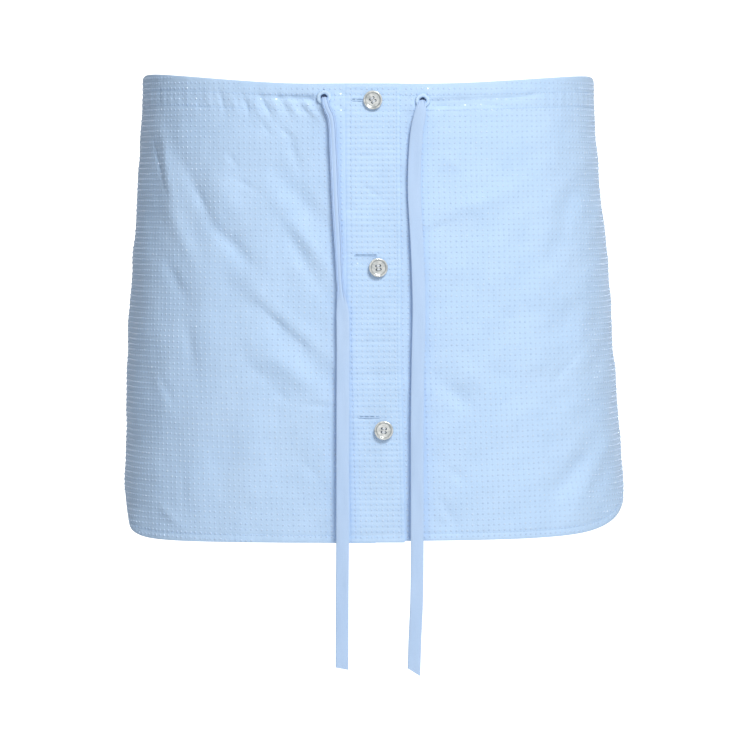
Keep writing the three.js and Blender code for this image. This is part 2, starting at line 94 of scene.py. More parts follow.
# Points of each tie's middle line, x, y and z, as in the solids.
TIE_ROUTES = {
    "tie_right": [
        (-28.0, -105.4, -22.4), (-28.0, -108.4, -23.4), (-27.3, -109.8, -26.6), (-25.8, -110.3, -30.6),
        (-23.9, -110.5, -34.8), (-22.8, -110.7, -42.4), (-22.4, -110.9, -50.3), (-21.8, -111.1, -62),
        (-21.3, -111.3, -75), (-20.7, -111.5, -90), (-19.8, -111.6, -106), (-18.9, -111.8, -122),
        (-18.3, -111.9, -138), (-17.4, -112.0, -151), (-16.3, -112.0, -162), (-15.9, -112.0, -185),
        (-16.0, -112.0, -222), (-16.1, -111.9, -268), (-16.2, -111.7, -314.6), (-16.5, -111.6, -354.3),
        (-16.6, -111.5, -399.6),
    ],
    "tie_left": [
        (36.4, -105.1, -24.4), (36.3, -108.0, -25.4), (35.7, -109.4, -29.2), (34.4, -109.8, -35.8),
        (33.1, -109.9, -42.4), (32.0, -110.0, -55), (31.2, -110.2, -72), (31.2, -110.3, -86.7),
        (31.9, -110.5, -99.9), (32.9, -110.7, -118), (33.8, -110.8, -140), (34.3, -110.9, -161),
        (33.7, -111.0, -193), (33.1, -111.0, -232), (33.1, -110.9, -268), (33.1, -110.8, -314.6),
        (32.7, -110.7, -354.3), (31.6, -110.4, -380), (30.9, -110.2, -402),
    ],
}
# How each tie is folded and turned on its way down: the way along it, its width, its thickness and
# its turn in degrees. The right one stays folded along its length for a third of the way.
TIE_SHAPES = {
    "tie_right": [
        (0, 4.0, 2.2, 0), (6, 4.7, 2.2, 6), (14, 5.2, 2.0, 8), (45, 5.3, 1.9, 5), (98, 5.1, 1.9, 4),
        (112, 4.5, 2.0, 6), (130, 4.5, 2.0, 5), (146, 8.6, 1.15, 1), (240, 8.6, 1.15, -3),
        (320, 8.6, 1.15, 3), (385, 8.6, 1.15, -2),
    ],
    "tie_left": [
        (0, 4.0, 2.2, 0), (5, 6.2, 1.9, 4), (12, 8.2, 1.6, 8), (30, 8.7, 1.3, 4), (60, 8.7, 1.15, -5),
        (100, 8.7, 1.15, -8), (150, 8.7, 1.15, -3), (230, 8.6, 1.15, 5), (310, 8.6, 1.15, -3),
        (385, 8.6, 1.15, 4),
    ],
}
TIE_CUTS = {"tie_right": -1.6, "tie_left": -5.0}
TIE_STEP = 1.4
TIE_ROUND = 28
TIE_POWER = 3.2
# The groove of its stitches, as shares of its width and thickness.
TIE_GROOVE = {"depth": 0.34, "aside": -0.1, "half_width": 0.12}
# Where it is narrower than the first it is all pleats, and wider than the second it is flat.
TIE_BUNCHED = (5.0, 8.4)
TIE_PLEATS = {"height": 0.30, "count": 6}
TIE_RIPPLE = {"height": 0.12, "slow": 9.0}
TIE_CUT_REACH = 2.0


def way_along(points):
    """How far along a line each of its points lies."""
    return np.concatenate([[0], np.cumsum(np.linalg.norm(np.diff(points, axis=0), axis=1))])


def on_line(values, way, places):
    """Rows of values between those at the ways along a line, at other places along it."""
    return np.stack([np.interp(places, way, column) for column in np.transpose(values)], axis=1)


def catmull_rom(route, step):
    """Points an even step apart along a centripetal Catmull-Rom curve through the route: between
    two of its points the curve blends lines whose times go with the square root of distance."""
    p = np.array(route, float)
    p = np.vstack([2 * p[0] - p[1], p, 2 * p[-1] - p[-2]])
    times = np.concatenate([[0], np.cumsum(np.sqrt(np.linalg.norm(np.diff(p, axis=0), axis=1)))])
    pieces = []
    for k in range(1, len(p) - 2):
        span = times[k - 1 : k + 3]
        t = np.linspace(span[1], span[2], 60, endpoint=k == len(p) - 3)[:, None]
        values = list(p[k - 1 : k + 3])
        for reach, first in ((1, 0), (2, 0), (1, 1)):
            for i in range(len(values) - 1):
                low, high = span[first + i], span[first + i + reach]
                values[i] = ((high - t) * values[i] + (t - low) * values[i + 1]) / (high - low)
            values.pop()
        pieces.append(values[0])
    fine = np.vstack(pieces)
    way = way_along(fine)
    even = np.linspace(0, way[-1], int(round(way[-1] / step)) + 1)
    return on_line(fine, way, even), even


def unit(vectors):
    """Each vector divided by its length."""
    return vectors / np.linalg.norm(vectors, axis=-1, keepdims=True)


def smoothstep(low, high, x):
    """0 below low, 1 above high, and 3t^2 - 2t^3 between them."""
    t = np.clip((x - low) / (high - low), 0, 1)
    return t * t * (3 - 2 * t)


def circle(radius, count, height=0.0, shift=0.0):
    """Points round a level circle, anticlockwise. The shift is a share of one step."""
    turn = (np.arange(count) + shift) * 2 * np.pi / count
    return np.column_stack([radius * np.cos(turn), radius * np.sin(turn), np.full(count, height)])


def bell(x):
    """exp(-x^2), a soft bump."""
    return np.exp(-x * x)


def add_mesh(name, points, faces, material, uv=None, sharp=50):
    """An object whose mesh has these points, in mm, and faces, given as arrays of corner numbers.
    uv gives a place on the cloth for each point; edges bent more than sharp degrees stay crisp."""
    mesh = bpy.data.meshes.new(name)
    corners = np.concatenate([f.ravel() for f in faces]).astype(np.int32)
    sizes = np.concatenate([np.full(len(f), f.shape[1]) for f in faces])
    starts = np.concatenate([[0], np.cumsum(sizes)[:-1]]).astype(np.int32)
    mesh.vertices.add(len(points))
    mesh.vertices.foreach_set("co", (np.asarray(points) * MM).astype(np.float32).ravel())
    mesh.loops.add(len(corners))
    mesh.loops.foreach_set("vertex_index", corners)
    mesh.polygons.add(len(starts))
    mesh.polygons.foreach_set("loop_start", starts)
    if uv is not None:
        layer = mesh.uv_layers.new(name="cloth")
        layer.data.foreach_set("uv", (np.asarray(uv)[corners] * MM).astype(np.float32).ravel())
    mesh.update(calc_edges=True)
    mesh.validate()
    mesh.polygons.foreach_set("use_smooth", np.ones(len(mesh.polygons), bool))
    mesh.set_sharp_from_angle(angle=np.radians(sharp))
    mesh.materials.append(material)
    made = bpy.data.objects.new(name, mesh)
    bpy.context.scene.collection.objects.link(made)
    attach(made, "root")
    return made


def grid_faces(rows, columns, wrap_columns=False, first=0, flip=False):
    """Quads over a grid of rows and columns of points numbered from first."""
    j, i = np.meshgrid(np.arange(rows - 1), np.arange(columns - (not wrap_columns)), indexing="ij")
    right = (i + 1) % columns
    quads = [j * columns + i, (j + 1) * columns + i, (j + 1) * columns + right, j * columns + right]
    faces = np.stack([q.ravel() for q in quads], axis=1) + first
    return faces[:, ::-1] if flip else faces


def tube_faces(rows, columns, copies=1):
    """Quads round a tube of rings that turn anticlockwise about its way, with strips across its
    two ends, for so many tubes whose points follow each other."""
    near = np.arange(columns // 2 - 1)
    end = np.stack([near, near + 1, columns - 2 - near, columns - 1 - near], axis=1)
    sides = grid_faces(rows, columns, wrap_columns=True, flip=True)
    one = np.concatenate([sides, end[:, ::-1], end + (rows - 1) * columns])
    return (one + rows * columns * np.arange(copies)[:, None, None]).reshape(-1, 4)


class Socket:
    """A node's output, on which Python's arithmetic adds Math nodes."""

    def __init__(self, nodes, output):
        self.nodes = nodes
        self.output = output

    def math(self, operation, *others):
        return self.nodes.node("ShaderNodeMath", {"operation": operation}, dict(enumerate((self, *others))))

    def __add__(self, other):
        return self.math("ADD", other)

    def __sub__(self, other):
        return self.math("SUBTRACT", other)

    def __rsub__(self, other):
        return (self * -1) + other

    def __mul__(self, other):
        return self.math("MULTIPLY", other)

    __rmul__ = __mul__


class Nodes:
    """A node tree; node() adds any node but those of Socket's arithmetic."""

    def __init__(self, tree):
        self.tree = tree

    def feed(self, socket, value):
        if isinstance(value, Socket):
            self.tree.links.new(value.output, socket)
        elif isinstance(value, tuple) and len(value) == 3 and len(socket.default_value) == 4:
            socket.default_value = (*value, 1)
        else:
            socket.default_value = value

    def node(self, kind, settings=None, sockets=None, output=0):
        made = self.tree.nodes.new(kind)
        for setting, value in (settings or {}).items():
            setattr(made, setting, value)
        for socket, value in (sockets or {}).items():
            self.feed(made.inputs[socket], value)
        return Socket(self, made.outputs[output])

    def parts(self, vector, *axes):
        """The named coordinates of a vector, each as a socket."""
        split = self.node("ShaderNodeSeparateXYZ", {}, {0: vector}).output.node
        return [Socket(self, split.outputs[axis]) for axis in axes]


class Surface(Nodes):
    """A material and its shader."""

    def __init__(self, name, **values):
        self.material = bpy.data.materials.new(name)
        self.material.use_nodes = True
        super().__init__(self.material.node_tree)
        self.shader = self.tree.nodes["Principled BSDF"]
        for socket, value in values.items():
            self.set(socket.replace("_", " ").title(), value)

    def set(self, socket, value):
        self.feed(self.shader.inputs[socket], value)

    def object_place(self):
        return self.node("ShaderNodeTexCoord", output="Object")

    def cloth_place(self, across=1.0, down=1.0):
        """The place on the cloth in mm, each way multiplied."""
        scale = (across / MM, down / MM, 1)
        place = self.node("ShaderNodeUVMap", {"uv_map": "cloth"})
        return self.node("ShaderNodeMapping", {}, {"Vector": place, "Scale": scale})

    def noise(self, place, scale, detail=2.0, roughness=0.5):
        sockets = {"Vector": place, "Scale": scale, "Detail": detail, "Roughness": roughness}
        return self.node("ShaderNodeTexNoise", {}, sockets)

    def mix(self, factor, first, second):
        """A colour between two, by the factor."""
        made = self.tree.nodes.new("ShaderNodeMix")
        made.data_type = "RGBA"
        for socket, value in {"Factor": factor, "A": first, "B": second}.items():
            self.feed(next(s for s in made.inputs if s.name == socket and s.enabled), value)
        return Socket(self, next(s for s in made.outputs if s.enabled))

    def bump(self, height, distance, strength=1.0, normal=None):
        sockets = {"Height": height, "Distance": distance * MM, "Strength": strength}
        if normal is not None:
            sockets["Normal"] = normal
        return self.node("ShaderNodeBump", {}, sockets)


THREAD_PITCH = 0.30
CRINKLE = 0.25


def poplin(name, colour, deep, rows=None):
    """Cotton poplin: a plain weave of fine threads, a little uneven in thickness and dye, with a
    faint crinkle. Each cell shows the rounded back of the warp or of the weft, turn about. rows
    adds level stripes of painted shade and light: how far down the first lies, their pitch and their
    strength."""
    cloth = Surface(name, roughness=0.82, sheen_weight=0.12, sheen_roughness=0.5)
    cloth.set("Specular IOR Level", 0.3)
    threads = cloth.cloth_place(1 / THREAD_PITCH, 1 / THREAD_PITCH)
    along, down = cloth.parts(threads, "X", "Y")
    parity = (along.math("FLOOR") + down.math("FLOOR")).math("MODULO", 2.0).math("ABSOLUTE")
    warp = (along * np.pi).math("SINE").math("ABSOLUTE")
    weft = (down * np.pi).math("SINE").math("ABSOLUTE")
    weave = warp * parity + weft * (1 - parity)
    slubs = cloth.noise(cloth.cloth_place(2.2, 0.05), 1.0, 3.0)
    bars = cloth.noise(cloth.cloth_place(0.05, 2.2), 1.0, 3.0)
    dye = cloth.noise(cloth.object_place(), 28.0, 3.0)
    shade = 0.30 * slubs + 0.30 * bars + 0.40 * dye
    tone = (shade - 0.5) * 2.3 + (weave - 0.6) * 0.25 + 0.5
    if rows:
        offset, pitch, strength = rows
        _, level = cloth.parts(cloth.cloth_place(1, 1), "X", "Y")
        # Level stripes of painted shade and light, standing for puckers between rows of stones.
        tone = tone - strength * ((level + offset) * (2 * np.pi / pitch)).math("COSINE")
    cloth.set("Base Color", cloth.mix(tone, deep, colour))
    soft = cloth.bump(cloth.noise(cloth.object_place(), 160.0, 4.0, 0.6), CRINKLE, 0.5)
    cloth.set("Normal", cloth.bump(weave + 0.5 * slubs + 0.5 * bars, 0.05, 0.5, soft))
    return cloth.material


def tie_section(count):
    """A flat band's outline of width and thickness 1: an ellipse of a high power, so its faces are
    flat and its edges round, with a shallow groove down the line of stitches near its middle."""
    turn = 2 * np.pi * (np.arange(count) + 0.5) / count
    across = np.sign(np.cos(turn)) * np.abs(np.cos(turn)) ** (2 / TIE_POWER)
    out = np.sign(np.sin(turn)) * np.abs(np.sin(turn)) ** (2 / TIE_POWER)
    groove = 1 - TIE_GROOVE["depth"] * bell((across - TIE_GROOVE["aside"]) / TIE_GROOVE["half_width"])
    return across / 2, out * groove / 2


def make_tie(name):
    """The band's section carried along its route. Its width lies along X, turned about the route
    by the table, and near the root it is pleated lengthwise, as bunched cloth is."""
    centres, way = catmull_rom(TIE_ROUTES[name], TIE_STEP)
    table = np.array(TIE_SHAPES[name], float)
    width, thick, degrees = (np.interp(way, table[:, 0], table[:, k])[:, None] for k in (1, 2, 3))
    turn = np.radians(degrees)
    along = unit(np.gradient(centres, axis=0))
    level = unit(np.array([1.0, 0, 0]) - along[:, :1] * along)
    face = np.cross(along, level)
    wide = level * np.cos(turn) + face * np.sin(turn)
    out = np.cross(along, wide)
    across, proud = (values[None] for values in tie_section(TIE_ROUND))
    bunched = 1 - smoothstep(*TIE_BUNCHED, width)
    pleats = np.cos(across * 2 * np.pi * TIE_PLEATS["count"]) * np.sign(proud)
    pleats = TIE_PLEATS["height"] * bunched * pleats
    sway = TIE_RIPPLE["height"] * np.sin(way / TIE_RIPPLE["slow"])
    ripple = sway[:, None] * np.cos(across * 2 * np.pi)
    shape_across = width * across
    shape_out = thick * proud + pleats + ripple
    points = centres[:, None] + wide[:, None] * shape_across[..., None]
    points = points + out[:, None] * shape_out[..., None]
    end = bell((way[-1] - way) / TIE_CUT_REACH)[:, None]
    points[..., 2] += end * shape_across * TIE_CUTS[name] / TIE_WIDTH
    faces = [tube_faces(*points.shape[:2])]
    uv = np.stack([shape_across + 4 * proud, -way[:, None] + 0 * shape_across], axis=-1)
    tie = add_mesh(f"cloth_{name}", points.reshape(-1, 3), faces, tie_cotton, uv.reshape(-1, 2))
    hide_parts(name)
    return tie, centres, way


tie_cotton = poplin("tie_cotton", (0.51, 0.668, 0.93), (0.44, 0.608, 0.89))
for tie_name in TIE_ROUTES:
    tie, centres, way = make_tie(tie_name)


# The outer cloth: two fronts and the back
# Light-blue poplin cut in three panels, seamed at the sides. The top is turned in as a casing with
# two rows of stitching, the hem is turned twice and stitched, and the drawcord gathers the front.

# The solids' wall, the gaps between pieces that are seamed, at the sides and elsewhere, and between
# pieces that lie on each other, and the real cloth.
WALL = 1.2
SIDE_SEAM = 0.04
SEAM_GAP = 0.3
LAY_GAP = 0.3
CLOTH = 0.5
WAIST_DIP = {"depth": 12.5, "from": 0.15, "right": 0.97, "left": 1.06}
SIDE_SETTLE = {"depth": 3.5, "reach": 30}
BAND_WIDTH = 36
BAND_OVERLAP = 3
BAND_WAIST = 3.0
BAND_HEM = 1.3
LAP = {"right": 1.3, "left": 0.6, "reach": 48}
HEM_LEVEL = {"front_right": -316.9, "front_left": -315.9, "back": -316.5}
SIDE_ARCH = {"right": (34, 34, 4.0), "left": (33, 48, 3.0)}
ARCH_LEVEL = -300
FRONT_POWER = 2.6
BACK_POWER = 2.3
# The worn form: level, half width, depth in front, depth behind, drift to the side.
FORM = np.array([
    (8, 155, 103.4, 96, 0.5), (-25, 155.5, 105, 101.5, 0.6), (-75, 158.9, 106.4, 111, 1.0),
    (-130, 163.3, 107, 118.5, 1.9), (-190, 166.9, 106.8, 122, 2.2), (-255, 170, 106, 121.5, 4.1),
    (-320, 174.2, 105, 119, 5.8),
])
# The largest folds, as in the solids: s, z, half length, half width, lean in degrees, height.
FOLDS = [
    (-144, -64, 25, 5, 15, 1.6), (-44, -91, 27, 7, 43, -1.4), (-41, -118, 26, 5, 37, 1.1),
    (-57, -179, 41, 7, 46, -1.2), (-56, -169, 36, 6, 49, 0.9), (-118, -84, 26, 5, 29, -1.0),
    (-93, -119, 21, 5, 46, -1.4), (-92, -91, 36, 8, 35, 0.8), (-53, -204, 29, 7, 52, 1.3),
    (-131, -112, 21, 6, 28, 1.2), (64, -95, 26, 6, -68, 1.3), (57, -220, 15, 6, 47, -1.3),
    (135, -274, 26, 7, -44, -1.5), (147, -282, 29, 7, -40, 1.1), (136, -105, 32, 9, -24, -1.3),
    (262, -120, 46, 11, 34, -1.7), (300, -205, 50, 12, 22, 1.6), (345, -110, 40, 10, 8, -1.5),
    (-345, -190, 54, 12, -10, 1.5), (-300, -125, 44, 11, -30, -1.8), (-255, -215, 46, 12, -18, 1.4),
]
# Smaller creases, the same way.
CREASES = [
    (-44, -130, 24, 5, 31, -1), (-123, -186, 16, 5, 12, -1), (-135, -143, 16, 5, 34, -1),
    (69, -209, 17, 7, 50, 0.9), (-154, -62, 19, 1.5, 26, -0.75), (-36, -226, 11, 2, 88, -0.6),
    (-142, -217, 13, 3.2, 32, -0.4), (-149, -216, 14, 3.5, 28, 0.25), (-143, -299, 12, 3.5, 52, 0.7),
    (45, -108, 9, 2.5, -69, -0.5), (134, -202, 21, 3, -48, -0.5), (56, -66, 6, 3, 47, 0.4),
    (68, -53, 7, 6, 62, -0.5), (48, -296, 13, 3.5, 29, -0.7), (55, -272, 9, 4, 53, -0.7),
    (90, -207, 6, 4, 60, -0.4), (92, -166, 7, 5, 60, -0.45), (-72, -42, 8, 2.2, 70, -0.6),
    (-54, -45, 5, 2.2, 50, -0.7), (-49, -60, 11, 3, 18, -0.7), (-92, -62, 6, 2.2, 39, -0.5),
    (-81, -80, 8, 2.2, 61, -0.5), (-104, -47, 5, 2.4, -46, -0.3), (-80, -27, 5, 2, 15, -0.6),
    (-68, -28, 6, 2.2, 24, -0.7), (-76, -203, 10, 4, 46, -0.6), (-60, -219, 8, 4, 44, -0.6),
    (-43, -268, 9, 4, 40, -0.5), (-35, -307, 7, 2.4, -44, -0.5), (-131, -282, 17, 4, 2, -0.4),
    (-115, -89, 8, 2.6, 29, -0.5), (-63, -170, 13, 2.4, 48, -0.6), (-47, -184, 7, 2.6, 49, -0.5),
    (45, -305, 7, 3, 60, -0.4), (-5, -44, 10, 1.6, 88, -0.35), (3, -85, 10, 1.8, 54, -0.35),
    (-12, -96, 5, 3, 86, -0.6), (-6, -126, 8, 1.3, 90, -0.4), (-8, -131, 7, 1.3, 87, -0.3),
    (-5, -229, 9, 1.3, -90, -0.3), (-6, -234, 9, 1.3, -90, -0.4), (3, -184, 20, 2.2, -88, -0.4),
    (2, -206, 20, 3, -88, -0.35), (21, -70, 3, 1.3, -84, -0.35), (21, -74, 3, 1.3, -84, -0.45),
    (21, -78, 3, 1.3, -90, -0.5), (21, -81, 4, 1.4, -85, -0.5), (-2, -61, 10, 1.8, 86, -0.25),
    (3, -110, 16, 2, 88, -0.25), (5, -156, 15, 2, 89, -0.2), (0, -258, 16, 2.4, -88, -0.3),
    (0, -287, 15, 2.4, 88, -0.25), (228, -82, 30, 4, 14, -0.48), (246, -168, 36, 4.6, 20, 0.42),
    (234, -250, 28, 4.2, 10, -0.4), (276, -72, 30, 4.2, 38, 0.42), (292, -160, 34, 4.6, 26, -0.42),
    (318, -250, 30, 4.8, 12, -0.36), (326, -66, 24, 3.8, 24, -0.42), (372, -150, 36, 5, 6, 0.36),
    (392, -84, 26, 4.2, -4, -0.42), (-402, -232, 34, 5, -4, -0.36), (-372, -96, 30, 4.4, -14, 0.42),
    (-336, -250, 28, 4.6, -14, -0.36), (-322, -76, 26, 4, -30, -0.45), (-278, -172, 36, 4.6, -26, 0.42),
    (-262, -74, 28, 4.2, -22, -0.42), (-236, -150, 34, 4.4, -14, -0.42),
    (-226, -232, 28, 4.2, -8, 0.38),
]
# Creases of the casing, which don't fade towards the edge.
CASING_CREASES = [
    (-28, -30, 15, 10, 8, 2.2), (36, -31, 15, 10, -6, 2.0), (-57, -22, 11, 1.5, 89, -0.45),
    (-40, -23, 8, 2, 84, -0.6), (-81, -27, 4, 1.3, 18, -0.5), (-77, -21, 4, 1.3, 5, -0.45),
    (-68, -28, 5, 1.5, 28, -0.55), (-60, -22, 3, 1.3, 14, -0.4), (-45, -30, 4, 1.5, 52, -0.45),
    (-100, -19, 4, 1.4, 12, -0.4), (-140, -19, 2, 1.5, 6, -0.35), (-134, -18, 2, 1.5, 6, -0.35),
    (-34, -26, 3, 1.3, 29, -0.6), (-38, -27, 3, 1.2, 24, -0.45), (-18, -19, 4, 1.3, 65, -0.5),
    (-18, -29, 4, 1.8, 31, -0.4), (-22, -27, 4, 1.3, 67, -0.35), (46, -24, 7, 1.3, -87, -1.26),
    (62, -23, 9, 1.3, -87, -1.08), (81, -22, 10, 1.4, -87, -0.9), (97, -21, 7, 1.5, -83, -0.81),
    (111, -19, 7, 1.6, -79, -0.72), (49, -27, 10, 1.4, -88, -1.44), (65, -26, 6, 1.4, -85, -1.08),
    (80, -26, 9, 1.4, 87, -0.9), (-39, -23, 6, 2, 87, -1.1), (-51, -22, 9, 1.9, 86, -0.8),
    (-67, -21, 10, 1.8, 86, -0.5), (-69, -41, 7, 1.4, 38, -0.4), (-54, -46, 5, 1.4, 47, -0.4),
    (27, -23, 3, 1.1, -90, -0.35), (26, -34, 4, 1.3, -63, -0.45), (24, -18, 4, 1.3, -49, -0.3),
]
FOLD_FADE = 24
# Gentle unevenness: height, wave length and seed. The first fades into the casing.
UNEVEN = (0.42, 34, 3)
UNEVEN_FINE = (0.09, 13, 4)
UNDULATION_WAVES = 9
CASING = {"front": 8.0, "side": 11.0, "width": 10.0}
CASING_DEPTH = 21
HEM_STITCH = 5.0
# How deep each row of stitches pulls the cloth in, and how wide.
STITCH_DIP = {"casing": 0.16, "hem": 0.25, "half_width": 0.9}
# Fine puckers at the hem, and waves of the casing towards the sides and back.
HEM_PUCKER = {"height": 0.07, "pitch": 5.2, "sway": 2, "slow": 17, "half_width": 3.5}
CASING_WAVES = {"height": 0.16, "pitch": 8.5, "sway": 1.5, "slow": 21, "half_width": 6}
CASING_WAVES_FROM = {"s": 150, "ease": 70}
# Gathers of the casing beside the eyelets: s, half width, height, lean in degrees, half length.
GATHERS = [
    (-36, 1.6, -0.75, 30, 6), (-41, 1.6, 0.52, 34, 6), (-46, 1.5, -0.68, 38, 6),
    (-52, 2.0, 0.60, 30, 7), (-57, 1.4, -0.60, 26, 7), (-63, 2.0, 0.60, 24, 7),
    (-70, 1.6, -0.68, 28, 8), (-76, 1.8, 0.52, 20, 7), (-83, 1.6, -0.60, 16, 7),
    (-91, 2.2, 0.52, 20, 6), (-99, 1.6, -0.52, 14, 6), (-108, 2.4, 0.38, 14, 6),
    (-118, 2.0, -0.38, 10, 5), (42, 1.5, 0.40, -34, 6), (47, 1.5, -0.35, -30, 6),
    (54, 1.8, 0.35, -26, 6), (61, 1.6, -0.30, -20, 6), (70, 2.2, 0.25, -20, 6),
    (82, 2.0, -0.25, -10, 6),
]
# The drawn cord pulls the casing in: level below the edge, half width, depth, and how far round
# from the centre front it stays tight before it eases off.
CINCH = {"below": 14.0, "half_width": 4.4, "depth": 0.3, "tight": 50, "ease": 45, "loose": 0.2}
EYELETS = {"eyelet_right": (-28.6, -22.4), "eyelet_left": (35.8, -24.4)}
EYELET_OUTER = 4.9
EYELET_INNER = 2.2
EYELET_PIT = 3.6
EYELET_DIP = 0.6
# Rows of the cloth's grid that lie at a fixed way below the edge and above the hem.
TOP_ROWS = [0, 0.35, 1.0, 2.4, 4.4, 6.2, 7.2, 8.0, 8.8, 10.0, 11.0, 12.0, 13.4, 15.0, 16.6, 17.4, 18.2,
            19.2, 20.2, 21.0, 21.8, 23.0, 24.6]
BOTTOM_ROWS = [0, 0.35, 1.0, 2.2, 3.4, 4.2, 5.0, 5.8, 6.8, 8.2]
INNER_EVERY = 3
TABLE_LEVELS = np.arange(16, -345, -3.0)
TABLE_SHARES = 256


def form_sizes(z):
    """The form's four sizes at each level: cubic curves through the rows of FORM, each with the
    slope from the row above to the row below."""
    rows, values = FORM[:, 0], FORM[:, 1:]
    k = np.clip(np.searchsorted(-rows, -z, side="right") - 1, 0, len(rows) - 2)
    before = np.maximum(np.arange(len(rows)) - 1, 0)
    after = np.minimum(np.arange(len(rows)) + 1, len(rows) - 1)
    slopes = (values[after] - values[before]) / (rows[before] - rows[after])[:, None]
    span = (rows[k] - rows[k + 1])[:, None]
    t = np.clip((rows[k] - z)[:, None] / span, 0, 1)
    sizes = values[k] * (2 * t**3 - 3 * t**2 + 1) + slopes[k] * span * (t**3 - 2 * t**2 + t)
    sizes += values[k + 1] * (3 * t**2 - 2 * t**3) + slopes[k + 1] * span * (t**3 - t**2)
    return sizes.T


def quarter_tables(depth_column, power):
    """For each level, the length of the quarter from centre line to side seam, and x and y as
    shares of the half width and depth at even steps of that length. The quarter is the
    superellipse x = sin(t)^(2/power), y = cos(t)^(2/power)."""
    sizes = form_sizes(TABLE_LEVELS)
    half, depth = sizes[0][:, None], sizes[depth_column][:, None]
    t = np.pi / 4 * (1 - np.cos(np.linspace(0, np.pi, 400)))
    x, y = np.sin(t) ** (2 / power), np.abs(np.cos(t)) ** (2 / power)
    steps = np.hypot(half * np.diff(x)[None], depth * np.diff(y)[None])
    way = np.concatenate([np.zeros((len(TABLE_LEVELS), 1)), np.cumsum(steps, axis=1)], axis=1)
    shares = np.linspace(0, 1, TABLE_SHARES + 1)
    xs = np.array([np.interp(shares * row[-1], row, x) for row in way])
    ys = np.array([np.interp(shares * row[-1], row, y) for row in way])
    return way[:, -1], xs, ys


FRONT_LENGTH, FRONT_X, FRONT_Y = quarter_tables(1, FRONT_POWER)
BACK_LENGTH, BACK_X, BACK_Y = quarter_tables(2, BACK_POWER)


def arc(lengths, z):
    """A quarter's length at level z."""
    return np.interp(-np.asarray(z, float), -TABLE_LEVELS, lengths)


def half_girth(z):
    """Half the way round at level z."""
    return arc(FRONT_LENGTH, z) + arc(BACK_LENGTH, z)


def look_up(table, z, share):
    """The table's value between its levels and shares, each blended in a straight line."""
    row = np.clip((TABLE_LEVELS[0] - z) / (TABLE_LEVELS[0] - TABLE_LEVELS[1]), 0, len(table) - 1.001)
    column = np.clip(share, 0, 1) * TABLE_SHARES * 0.999999
    j, i = row.astype(int), column.astype(int)
    a, b = row - j, column - i
    upper = table[j, i] * (1 - b) + table[j, i + 1] * b
    lower = table[j + 1, i] * (1 - b) + table[j + 1, i + 1] * b
    return upper * (1 - a) + lower * a


def ring_point(s, z):
    """The form's point s round from the centre front at level z."""
    front, back = arc(FRONT_LENGTH, z), arc(BACK_LENGTH, z)
    half = front + back
    wrapped = (s + half) % (2 * half) - half
    side, along = np.where(wrapped < 0, -1.0, 1.0), np.abs(wrapped)
    in_front = along <= front
    share = np.where(in_front, along / front, 1 - (along - front) / back)
    x = np.where(in_front, look_up(FRONT_X, z, share), look_up(BACK_X, z, share))
    y = np.where(in_front, look_up(FRONT_Y, z, share), look_up(BACK_Y, z, share))
    half_width, front_depth, back_depth, drift = form_sizes(z)
    depth = np.where(in_front, -front_depth, back_depth)
    return np.stack([drift + side * half_width * x, depth * y, z], axis=-1)


def form_at(s, z):
    """The form's points and outward normals at flat arrays of s and z."""
    step = 1.5
    round_about = ring_point(s + step, z) - ring_point(s - step, z)
    upward = ring_point(s, z + step) - ring_point(s, z - step)
    return ring_point(s, z), unit(np.cross(round_about, upward))


def from_side_seam(s, z):
    """How far s lies beyond its nearest side seam at level z, less than nothing in front."""
    along = np.minimum(np.abs(s), 2 * half_girth(z) - np.abs(s))
    return along - arc(FRONT_LENGTH, z)


def waist_edge(s):
    """The level of the top edge: it dips in front and settles a little at the side seams."""
    beyond = from_side_seam(s, 0.0)
    share = 1 + np.minimum(beyond, 0) / arc(FRONT_LENGTH, 0.0)
    end = np.where(s < 0, WAIST_DIP["right"], WAIST_DIP["left"])
    in_front = np.where(beyond < 0, 1, bell(beyond / SIDE_SETTLE["reach"]))
    dip = WAIST_DIP["depth"] * (1 - smoothstep(WAIST_DIP["from"], end, share)) * in_front
    return -dip - SIDE_SETTLE["depth"] * bell(beyond / SIDE_SETTLE["reach"])


def hem_edge(s, level):
    """The level of the hem: it rises in an arch, rise / (1 + (away / reach)^power), at each side."""
    away = np.abs(from_side_seam(s, ARCH_LEVEL))
    on_right = (s < 0) | (s > half_girth(ARCH_LEVEL))
    rise, reach, power = np.where(on_right[..., None], SIDE_ARCH["right"], SIDE_ARCH["left"]).T
    return level + (rise / (1 + (away.T / reach) ** power)).T


def pressed(s, z, rows):
    """The sum of long soft bumps, each a bell along and across its own leaning axis."""
    girth = 2 * half_girth(z)
    total = np.zeros_like(s)
    for middle, level, half_length, half_width, lean, height in rows:
        across = s - middle
        across = across - np.where(np.abs(across) > girth / 2, np.sign(across) * girth, 0)
        down = level - z
        angle = np.radians(lean)
        along = across * np.sin(angle) + down * np.cos(angle)
        aside = across * np.cos(angle) - down * np.sin(angle)
        total = total + height * bell(along / half_length) * bell(aside / half_width)
    return total


def undulation(s, z, height, size, seed):
    """A gentle unevenness: a sum of sine waves of like size in seeded directions and phases."""
    chance = np.random.default_rng(seed)
    total = np.zeros_like(s)
    for _ in range(UNDULATION_WAVES):
        angle, phase = chance.uniform(0, np.pi), chance.uniform(0, 2 * np.pi)
        length = size * chance.uniform(0.6, 1.7)
        total = total + np.sin((s * np.cos(angle) + z * np.sin(angle)) * 2 * np.pi / length + phase)
    return height * total / np.sqrt(UNDULATION_WAVES)


def casing_top(s):
    """How far the casing's upper row of stitches lies below the edge."""
    share = np.clip(1 + np.minimum(from_side_seam(s, 0.0), 0) / arc(FRONT_LENGTH, 0.0), 0, 1)
    return CASING["front"] + (CASING["side"] - CASING["front"]) * smoothstep(0.25, 0.85, share)


